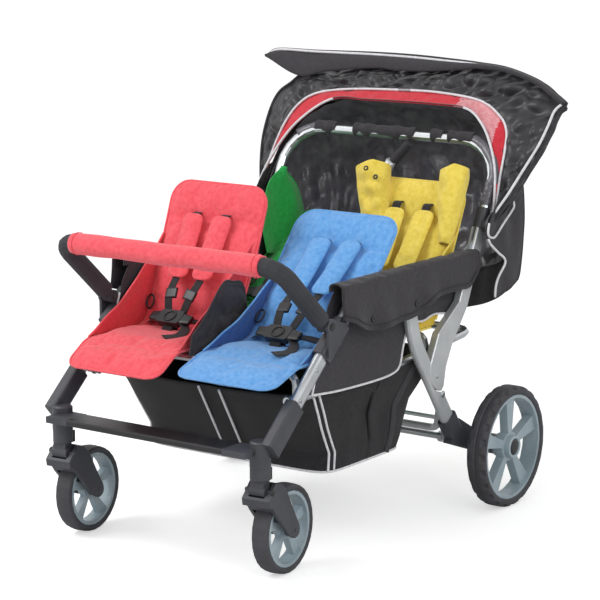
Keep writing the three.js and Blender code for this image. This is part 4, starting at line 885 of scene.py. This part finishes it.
# %% Visor panel between the outer piping and the rim
columns = 260
# the gathered panel ends 16 mm behind the lower edge of the peak
behind_peak = [(x, h + 16) for x, h in crease[1:-1]]
rim_points = even(rim_left + behind_peak + rim_right, columns)
v = np.linspace(0, 1, 30)[:, None]
flat = between(even(band_outer, columns), rim_points, v)
# the gathers run from the piping to the rim, and are deepest where the cloth is gathered at the piping
along = np.linspace(0, 1500, columns)[None]
gathers = wrinkles(along, 60 * v, 71, 46.0, 14) * 4.6 + np.abs(wrinkles(along, 160 * v, 72, 95.0, 10)) * 7.0
on_top = np.exp(-((flat[..., 0] / 300) ** 6))
depth = gathers * (0.25 + np.sin(np.pi * v ** 0.8)) * (0.55 + 0.45 * on_top)
grid = in_plane(flat[..., 0], flat[..., 1], band_lean + (rim_lean - band_lean) * v)
visor_front = surface("visor_panel", grid + outward * (depth - 3.0)[..., None], hood_cloth, thick=1.6)
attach(visor_front, "visor")
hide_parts("hood_visor")
cloth(visor_front)

# %% Peak, rim binding and rim pipings
v = np.linspace(0, 1, 12)[:, None]
flat = between(even(crease, 140), even(rim_top, 140), v)
# the peak is stiffened and lies smooth in front of the gathers
lift = 9.0 + 7 * np.sin(np.pi * v) ** 0.7
peak = in_plane(flat[..., 0], flat[..., 1], 28.0 + 2.0 * v) + outward * lift[..., None]
peak_front = surface("visor_peak", peak, polyester, thick=4.0)
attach(peak_front, "visor")
cloth(peak_front)
left_rim = in_plane(rim_points[:70, 0], rim_points[:70, 1], rim_lean)
rope("rim_binding_left", left_rim, 2.9, polyester, "visor", up_way=outward, sides=8)
whole_rim = even(rim_top + rim_right, 220)
rim_middle = [0, 150]
inwards = unit(whole_rim - rim_middle)
for name, lift, inset, finish in [("outer", 12.0, 0.0, polyester), ("inner", 19.0, 7.5, piping)]:
    drawn = whole_rim - inwards * inset
    line = in_plane(drawn[:, 0], drawn[:, 1], rim_lean) + outward * lift
    rope(f"rim_piping_{name}", line, 2.9, finish, "visor", up_way=outward, sides=8)

# %% Red band and its pipings
v = np.linspace(0, 1, 14)[:, None]
outer_line, inner_line = even(band_outer, 200), even(band_inner, 200)
flat = between(inner_line, outer_line, v)
ripple = 2.2 * wrinkles(np.linspace(0, 1200, 200)[None], 30 * v, 75, 60.0) * np.sin(np.pi * v)
band = in_plane(flat[..., 0], flat[..., 1], bow_lean + (band_lean - bow_lean) * v)
band = band - outward * (5.0 + ripple)[..., None]
band_cloth = surface("hood_red_band", band, red_twill, thick=1.2)
# one part of the band is open mesh, to let air through
window = (0.15, 0.262)
band_cloth.data.materials.append(pink_mesh)
centres = np.zeros(3 * len(band_cloth.data.polygons))
band_cloth.data.polygons.foreach_get("center", centres)
x = centres.reshape(-1, 3)[:, 0]
band_cloth.data.polygons.foreach_set("material_index", ((x > window[0]) & (x < window[1])).astype(int))
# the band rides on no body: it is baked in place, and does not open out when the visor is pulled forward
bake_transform(band_cloth)
cloth(band_cloth)
# the outer piping's two lengths overlap on top; the inner one ends where the lining's edge begins
for name, points, lean, body, left_end, right_start in [("outer", outer_line, band_lean, "visor", 20, -20),
                                                        ("inner", inner_line, bow_lean, "handle", -167, 177)]:
    for part, chosen in [("left", points[:, 0] < left_end), ("right", points[:, 0] > right_start)]:
        line = in_plane(points[chosen, 0], points[chosen, 1], lean)
        rope(f"band_piping_{name}_{part}", line, 2.8, piping, body, up_way=outward, sides=8)

# %% Outer shell and its lining
lean_shares = [0, 0.18, 0.4, 0.58, 0.74, 0.88, 1]
reach_shares = [1, 1.03, 1.03, 0.97, 0.88, 0.82, 0.8]
hood_y, hood_z = 682.25, 606.3
hood_half, hood_height, hood_lean, hood_turn = 316.0, 292.0, 25.0, 103.0


def dome(rows, columns, inset, seed, ridge, size, start=0.02):
    """The hood as a grid: bow number v leans by hood_lean + hood_turn times its share, and on each bow
    x = half |cos|^(2 / 2.8) and h = height sin^(2 / 2.8); creases add to h along sharp ridges."""
    v = np.linspace(0, 1, rows)[:, None]
    angle = np.pi * np.linspace(start, 1 - start, columns)[None]
    bows = np.linspace(0, 1, len(lean_shares))
    lean_share, reach = np.interp(v, bows, lean_shares), np.interp(v, bows, reach_shares)
    a, b = angle / np.pi * 1100, 420 * v
    sharp, fine = np.abs(wrinkles(a, b * 0.55, seed, size, 12)), wrinkles(a, b, seed + 1, size * 0.4, 14)
    fade = np.sin(np.pi * np.clip(v, 0.02, 1)) ** 0.4 * np.sin(angle) ** 0.3
    creases = (sharp * -1.0 + 0.5 * fine) * ridge * fade
    x = -np.sign(np.cos(angle)) * (hood_half - max(inset, 3.0)) * np.abs(np.cos(angle)) ** (2 / 2.8)
    h = (hood_height - inset) * reach * np.sin(angle) ** (2 / 2.8) + creases
    lean = np.radians(hood_lean + hood_turn * lean_share)
    return xyz(x * (1 + creases / 900), hood_y + h * np.sin(lean), hood_z + h * np.cos(lean))


shell = surface("hood_cover", dome(50, 140, -5.0, 80, 2.5, 120.0), polyester, thick=1.6)
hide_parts("hood_shell")
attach(shell, "handle")
cloth(shell)
# the lining's grey colour is painted light on black nylon
lining = surface("hood_lining", dome(120, 300, 12.0, 84, 11.0, 170.0), nylon, thick=0.8)
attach(lining, "handle")
cloth(lining)
# the lining's straight front edge hangs from the bow between the two ends of the inner piping
top_edge = inner_line[np.abs(inner_line[:, 0] - 5) < 190]
x, h = top_edge[None, :, 0], top_edge[None, :, 1]
v = np.linspace(0, 1, 16)[:, None]
drop = in_plane(x, h + 2 + 14 * v, bow_lean + 16.0 * v)
drop[..., 1] += 5 * wrinkles(x, 60 * v, 88, 70.0) * v
edge = surface("lining_edge", drop, nylon, thick=1.2)
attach(edge, "handle")
cloth(edge)

# %% Side curtains
# y and z of the front edge, which runs in a wave below the knob, of the rear edge, and of the piping's loop
wave_line = curve([(646, 612), (645, 597), (653, 576), (689, 550), (714, 535), (718, 521), (694, 499),
                   (681, 478), (678, 454)], 60)
rear_line = curve([(793, 690), (799, 654), (802, 613), (800, 576), (796, 533), (789, 494), (783, 480)], 60)
loop_line = curve([(744, 663), (752, 648), (747, 637), (709, 611), (677, 588), (661, 586), (648, 592),
                   (645, 602), (649, 619)], 60)
curtain_x, curtain_piping_x = 314.5, 319.0
for name, sign in sides.items():
    u = np.linspace(0, 1, 40)[None]
    flat = between(wave_line, rear_line, u).transpose(1, 0, 2)
    rise = np.linspace(1, 0, 60)[:, None]
    # the hem sinks between its corners, and the top follows the hood
    flat[..., 1] += 34 * np.sin(np.pi * u) * rise ** 3 - 7 * np.sin(np.pi * u) * (1 - rise) ** 4
    folds = wrinkles(flat[..., 0], flat[..., 1] * 0.35, 90 + sign, 70.0)
    wave = 2.2 * (1 + folds) * np.sin(np.pi * (0.15 + 0.7 * u))
    grid = xyz(sign * (curtain_x + wave), flat[..., 0], flat[..., 1])
    curtain = surface(f"hood_curtain_{name}", grid, polyester, thick=1.6)
    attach(curtain, "handle")
    cloth(curtain)
    border = np.concatenate([grid[-1], grid[::-1, -1]])
    rope(f"curtain_binding_{name}", border, 2.2, polyester, "handle", up_way=(1, 0, 0), sides=8)
    # piping turns in a narrow loop at the hood's knob and runs down the curtain's front edge
    for part, line in [("wave", wave_line[12:]), ("loop", loop_line)]:
        line = xyz(sign * curtain_piping_x, line[:, 0], line[:, 1])
        rope(f"curtain_piping_{part}_{name}", line, 2.6, piping, "handle", up_way=(1, 0, 0), sides=8)

# %% Rear curtain
# the back of the hood ends in a curtain that joins the two sides and hangs lowest in the middle
rear_half = 312
x, v = np.linspace(-rear_half, rear_half, 90)[None], np.linspace(0, 1, 34)[:, None]
middle_share = 1 - np.abs(x / rear_half) ** 3
low, top = 478 - 100 * middle_share, 640 - 150 * middle_share ** 0.5
z = low + (top - low) * v
y = 786 + 72 * middle_share + 14 * v * (1 - v) + 4 * wrinkles(x + 400, 0.3 * z, 93, 80.0)
grid = xyz(x, y, z)
rear = surface("hood_curtain_rear", grid, polyester, thick=1.6)
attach(rear, "handle")
cloth(rear)
rope("curtain_binding_rear", grid[0], 2.2, polyester, "handle", sides=8)

# %% Sleeves over the handle
# the crossbar of the handle runs through four black pockets of the hood
crossbar_reach = 200
for number, (low_x, high_x) in enumerate([(-205, -150), (-100, 62), (106, 134), (150, 214)]):
    x = np.linspace(low_x, high_x, 60)
    puff = 14.0 + 1.2 * wrinkles(x, 0 * x, 95 + number, 40.0)
    rope(f"handle_pocket_{number}", in_plane(x, crossbar_reach, handle_lean), np.stack([puff, puff], -1),
         polyester, "handle", sides=20)
# its upright parts run in sleeves of the lining; the tube is straight to 104 mm above the pivots, and then
# turns through a quarter circle of 96 mm
bend_x, bend_h, bend_radius = 187, 104, 96
turn = np.linspace(0, np.pi / 2, 30)
bend = np.stack([bend_x + bend_radius * np.cos(turn), bend_h + bend_radius * np.sin(turn)], -1)
straight_h = np.linspace(52, 100, 30)
straight = np.stack([276 + 0.03 * straight_h, straight_h], -1)
for name, sign, path in [("left", -1, bend[16:]), ("right", 1, np.concatenate([straight, bend[1:-3]]))]:
    puff = 12.6 + 0.9 * wrinkles(np.arange(len(path)) * 4.0, 0 * path[:, 0], 99 + sign, 36.0)
    rope(f"handle_sleeve_{name}", in_plane(sign * path[:, 0], path[:, 1], handle_lean),
         np.stack([puff, puff], -1), nylon, "handle", up_way=(0, -1, 0.4), sides=18)
# the strut under the crossbar has a bare metal end
strut_end = np.array([(0, 741, 703), (6, 738, 711), (12, 735, 720)], float) + [0, -1.0, 0]
rope("strut_collar", strut_end, 11.8, silver_coat, "handle", sides=20)
print("hood ready")

# %% [markdown]
# ## Armrest covers
# A padded cover lies over each armrest. Outside it hangs as a flap with a wavy hem, a stitched border and
# two snaps; inside it runs down to the seat rail as a panel edged with piping. The flap is a grid with
# rows along the armrest: each column goes from the inner edge, over the tube and down to the hem.

# %% Armrest flaps
hem = even([(133, 492), (160, 484), (229, 456), (320, 455), (407, 460), (434, 475), (492, 485), (560, 487),
            (613, 489), (653, 530)], 90)
arm_x, arm_top, arm_half, arm_inner = 275.0, 557.0, 19.0, 12.0
snap_places = [236.0, 396.0]
# the snap's turned profile: radius, and height off the cloth
snap_radius, snap_lift = np.array([[6.5, 6.5, 5.6, 3.2, 2.6], [-1.0, 1.2, 2.0, 1.6, 1.0]])[..., None]
for name, sign in sides.items():
    u = np.linspace(0, 1, 56)[None]
    # the profile: a short way down on the inside, half a turn over the tube, and the rest down to the hem
    turn = np.clip((u - 0.08) / 0.34, 0, 1) * np.pi
    down = np.clip((u - 0.42) / 0.58, 0, 1)
    rise = np.clip((0.08 - u) / 0.08, 0, 1)
    y = hem[:, :1] + 0 * u
    x = arm_x - np.where(turn < np.pi / 2, arm_inner, arm_half) * np.cos(turn) + 0 * y
    z = arm_top - 6 + 9 * np.sin(turn) - 9 * rise - down * (arm_top - 6 - hem[:, 1:2])
    hang = down * (0.35 + 0.65 * down)
    x = x + hang * (4 + 4.5 * wrinkles(y, 0.3 * z, 110 + sign, 95.0))
    z = z - (1 - down) * (2.0 * wrinkles(y, x * 2, 112 + sign, 60.0) ** 2) * 0.6
    grid = xyz(sign * x, y, z)
    flap = surface(f"armrest_flap_{name}", grid, polyester, thick=3.0)
    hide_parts(f"armrest_cover_{name}")
    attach(flap, "chassis")
    cloth(flap)
    outside = np.array([sign * 2.2, 0, 0])
    rope(f"flap_hem_{name}", grid[:, -1], 2.4, polyester, "chassis", up_way=(1, 0, 0), sides=8)
    stitched = curve(grid[:, -1][::6] + outside + [0, 0, 9], 120)
    rope(f"flap_seam_{name}", stitched, 0.9, webbing, "chassis", up_way=(1, 0, 0), sides=6)
    for end, row in [("front", 1), ("rear", -2)]:
        rope(f"flap_edge_{name}_{end}", grid[row, 20:], 2.2, polyester, "chassis", up_way=(0, 1, 0), sides=8)
    # two snaps hold the flap to the tube, 22 mm above the hem
    for number, snap_y in enumerate(snap_places):
        row = int(np.argmin(np.abs(hem[:, 0] - snap_y)))
        column = int(np.argmin(np.abs(grid[row, 20:, 2] - (hem[row, 1] + 22)))) + 20
        turn = turns(24)
        head = xyz(sign * snap_lift, snap_radius * np.cos(turn), snap_radius * np.sin(turn))
        cap = grid[row, column] + outside + head
        snap = surface(f"flap_snap_{name}_{number}", cap, black_nylon, around=True, capped=True)
        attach(snap, "chassis")

# %% Inner side panels
low_edge = even([(72, 346), (163, 338), (293, 334), (362, 337), (388, 350), (402, 392), (424, 431),
                 (476, 429), (520, 436), (567, 431), (607, 432), (636, 446)], 90)
top_edge = even([(120, 486), (133, 520), (170, 548), (300, 552), (420, 552), (540, 552), (640, 540)], 90)
panel_x = 262.5
for name, sign in sides.items():
    v = np.linspace(0, 1, 34)[:, None]
    flat = between(low_edge, top_edge, v)
    wave = wrinkles(flat[..., 0] * 0.7, flat[..., 1], 120 + sign, 90.0) * np.sin(np.pi * v)
    grid = xyz(sign * (panel_x + wave), flat[..., 0], flat[..., 1])
    panel = surface(f"side_panel_{name}", grid, polyester, thick=1.8)
    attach(panel, "chassis")
    cloth(panel)
    line = np.concatenate([grid[::-1, 0], grid[0]]) + [sign * 1.5, 0, 0]
    rope(f"side_panel_piping_{name}", line, 2.4, piping, "chassis", up_way=(1, 0, 0), sides=8)

# %% [markdown]
# ## Basket
# The basket is a bag of black mesh that hangs from the seat rails, with white piping along its edges. It
# is a stack of closed loops: each loop is a rectangle with round corners, whose front, rear and half
# width change with height; below the lowest loop the bottom closes towards its middle.

# %% Basket
basket_low, basket_high, corner_power = 157, 345, 9
# the top and bottom of the free cloth, between which it sags
cloth_top, cloth_low = 343, 158


def basket_loop(z, count=120, shrink=1.0):
    """A rectangle with round corners at height z, with |x/a|^n + |y/b|^n = 1 and n = 9, drawn by angle."""
    front = np.interp(z, [basket_low, 200, 340], [161, 154, 32])
    rear = np.interp(z, [basket_low, 184, 262, basket_high], [446, 464, 490, 610])
    half = np.interp(z, [basket_low, basket_high], [236, 254]) * shrink
    turn = turns(count)
    power = np.abs(np.cos(turn)) ** corner_power + np.abs(np.sin(turn)) ** corner_power
    reach = power ** (-1 / corner_power)
    x = half * reach * np.cos(turn)
    y = (front + rear) / 2 + (rear - front) / 2 * shrink * reach * np.sin(turn)
    # the side seams lie further back than the middle of the front at the top
    set_back = 38 * np.abs(x / 254) ** 3 * np.interp(z, [basket_low, basket_high], [0, 1])
    return xyz(x, y + np.where(np.sin(turn) < 0, set_back, 0), z)


loops = [basket_loop(z) for z in np.linspace(cloth_top, 162, 46)]
wall_rows = len(loops)
loops += [basket_loop(cloth_low + 1, shrink=0.985), basket_loop(cloth_low, shrink=0.94)]
loops += [basket_loop(cloth_low, shrink=share) for share in (0.7, 0.4, 0.15, 0.0)]
grid = np.array(loops)
out = unit((grid - grid.mean(axis=1, keepdims=True)) * [1, 1, 0])
along = np.linspace(0, 1400, grid.shape[1])[None]
sag = np.clip(np.minimum((cloth_top - grid[..., 2]) / 60, (grid[..., 2] - cloth_low) / 40), 0, 1)
grid = grid + out * ((3.5 * wrinkles(along, grid[..., 2] * 0.6, 130, 110.0) - 2) * sag)[..., None]
basket = surface("basket_bag", grid, mesh_cloth, around=True, thick=1.6)
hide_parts("basket")
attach(basket, "chassis")
cloth(basket)

# %% Basket pipings
seam = {"finish": piping, "body": "chassis", "up_way": (1, 0, 0), "sides": 8}
low_loop = np.concatenate([grid[wall_rows - 1], grid[wall_rows - 1, :1]]) + [0, 0, -1]
rope("basket_piping_low", low_loop, 2.6, piping, "chassis", sides=8)
# a strap edged with piping runs down the front
v = np.linspace(0, 1, 30)[:, None]
for number, (top, foot) in enumerate([((18, 32, 340), (-21, 156, 200)), ((71, 30, 340), (28, 158, 200))]):
    line = np.array(top, float) * (1 - v) + np.array(foot, float) * v + [0, -7, 0]
    rope(f"basket_front_piping_{number}", line, 2.6, **seam)
for name, sign in sides.items():
    # upright pipings at the front seams, and a black zip strip on the side
    row = grid[20]
    column = int(np.argmin(np.abs(row[:, 0] - sign * 235) + 0.4 * row[:, 1]))
    for part, back_off in [("front", -2.0), ("rear", 13.0)]:
        line = grid[:wall_rows, column] + [sign * (2 + 0.25 * back_off), back_off, 0]
        rope(f"basket_seam_{name}_{part}", line, 2.6, **seam)
    column = int(np.argmin(np.abs(row[:, 1] - 390) - sign * row[:, 0] * 5))
    line = grid[:wall_rows, column] + [sign * 2, 0, 0]
    rope(f"basket_strip_{name}", line, (9.0, 1.4), polyester, "chassis", up_way=(sign, 0, 0),
         sides=12, square=5)

# %% Divider between the front seats
low = curve([(20, 398), (60, 400), (100, 404), (150, 408), (205, 412)], 40)
high = curve([(30, 440), (70, 470), (131, 531), (165, 531), (200, 518), (216, 440)], 40)
flat = between(low, high, np.linspace(0, 1, 26))
patch = xyz(0, flat[..., 0], flat[..., 1])
divider = pillow("divider_pad", patch, 7.0, 7.0, polyester, "chassis", seams=(0.0,), limit=5.0)
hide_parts("centre_divider")
border = np.concatenate([patch[:, 0], patch[-1], patch[::-1, -1]])
rope("divider_piping", border, 2.4, polyester, "chassis", up_way=(1, 0, 0), sides=8)

# %% [markdown]
# ## Tyres and hub caps
# The rear tyres are foamed rubber with a row of pockets cut into each shoulder. The section is a closed
# loop, turned about the axle; a pocket pushes the shoulder in where a wave round the wheel is high.

# %% Tyres and hub caps
section_radius = [114.3, 119, 125, 129.5, 132.1, 132.5, 132.5, 132.5, 132.1, 129.5, 125, 119, 114.3, 113.0,
                  113.0, 113.0]
section_side = [-20, -22.3, -22.0, -19.5, -14.0, -7.0, 0.0, 7.0, 14.0, 19.5, 22.0, 22.3, 20, 12, 0, -12]
section = curve(list(zip(section_radius + section_radius[:1], section_side + section_side[:1])), 97)[:-1]
wheel_x, wheel_z, pockets = 357.5, 132.5, 24
pocket_depth, groove_depth = 5.0, 1.8
# the cap's turned profile: radius, and height outside the middle of the wheel
cap_radius, cap_side = np.array([[17.5, 17.5, 16.6, 12.0, 6.0], [10.0, 20.5, 22.0, 23.0, 23.4]])[..., None]
for name, sign in sides.items():
    wheel = f"rear_wheel_{name}"
    turn = np.linspace(0, 2 * np.pi, pockets * 18 + 1)[:, None]
    radius, across = section[None, :, 0], section[None, :, 1]
    wave = 1 / (1 + np.exp(-14 * (np.cos(pockets * turn) - 0.25)))
    shoulder = np.exp(-((np.abs(across) - 17.5) / 4.2) ** 4) * (radius > 126)
    groove = np.exp(-(across / 2.2) ** 4) * (radius > 130)
    radius = radius - pocket_depth * wave * shoulder - groove_depth * groove
    across = across * (1 - 0.05 * wave * shoulder)
    grid = xyz(sign * wheel_x + across, wheelbase + radius * np.sin(turn), wheel_z + radius * np.cos(turn))
    tyre = surface(f"tyre_tread_{name}", grid, rubber, around=True)
    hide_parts(f"rear_tyre_{name}")
    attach(tyre, wheel)
    turn = turns(48)[None]
    grid = xyz(sign * (wheel_x + cap_side), wheelbase + cap_radius * np.cos(turn),
               wheel_z + cap_radius * np.sin(turn))
    cap = surface(f"hub_cap_{name}", grid, black_nylon, around=True, capped=True)
    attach(cap, wheel)
    ring = circle((sign * (wheel_x + 20.5), wheelbase, wheel_z), (0, 1, 0), (0, 0, 1), 21.5, 49)
    rope(f"hub_ring_{name}", ring, 3.4, wheel_nylon, wheel, up_way=(1, 0, 0), sides=10)
print("tyre pockets in each shoulder:", pockets)

# %% [markdown]
# ## Fasteners
# Rivets and bolts are small domes on the outside of the frame. They are lathe profiles of a few rings,
# turned about an axis along X, so one function places them all.

# %% Rivets and bolts
rivet, link_bolt, fork_bolt = (4.5, 2.4, steel), (8.0, 3.5, steel), (7.0, 3.0, black_nylon)


def dome_head(name, x, y, z, kind, body):
    """A low round head on a side face: rings shrink as the square root of the height that is left."""
    radius, height, finish = kind
    sign = 1 if x > 0 else -1
    turn = turns(24)
    share = np.array([0.0, 0.35, 0.7, 0.92, 1.0])[:, None]
    ring = radius * np.sqrt(np.clip(1 - share ** 2, 0, 1))
    points = xyz(x + sign * (height * share - 0.5), y + ring * np.cos(turn), z + ring * np.sin(turn))
    head = surface(name, points, finish, around=True, capped=True)
    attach(head, body)


leg_face, clamp_face, link_face, fork_face = 284.0, 288.6, 284.2, 282.5
for name, sign in sides.items():
    dome_head(f"leg_rivet_low_{name}", sign * leg_face, 6, 350, rivet, "chassis")
    dome_head(f"leg_rivet_high_{name}", sign * leg_face, 62, 400, rivet, "chassis")
    dome_head(f"clamp_rivet_high_{name}", sign * clamp_face, 130, 466, rivet, "chassis")
    dome_head(f"link_bolt_{name}", sign * link_face, 527, 264, link_bolt, "handle")
    dome_head(f"link_rivet_{name}", sign * link_face, 503, 307, rivet, "handle")
    dome_head(f"fork_bolt_{name}", sign * fork_face, -84, 186, fork_bolt, f"castor_fork_{name}")
print("all pieces made")
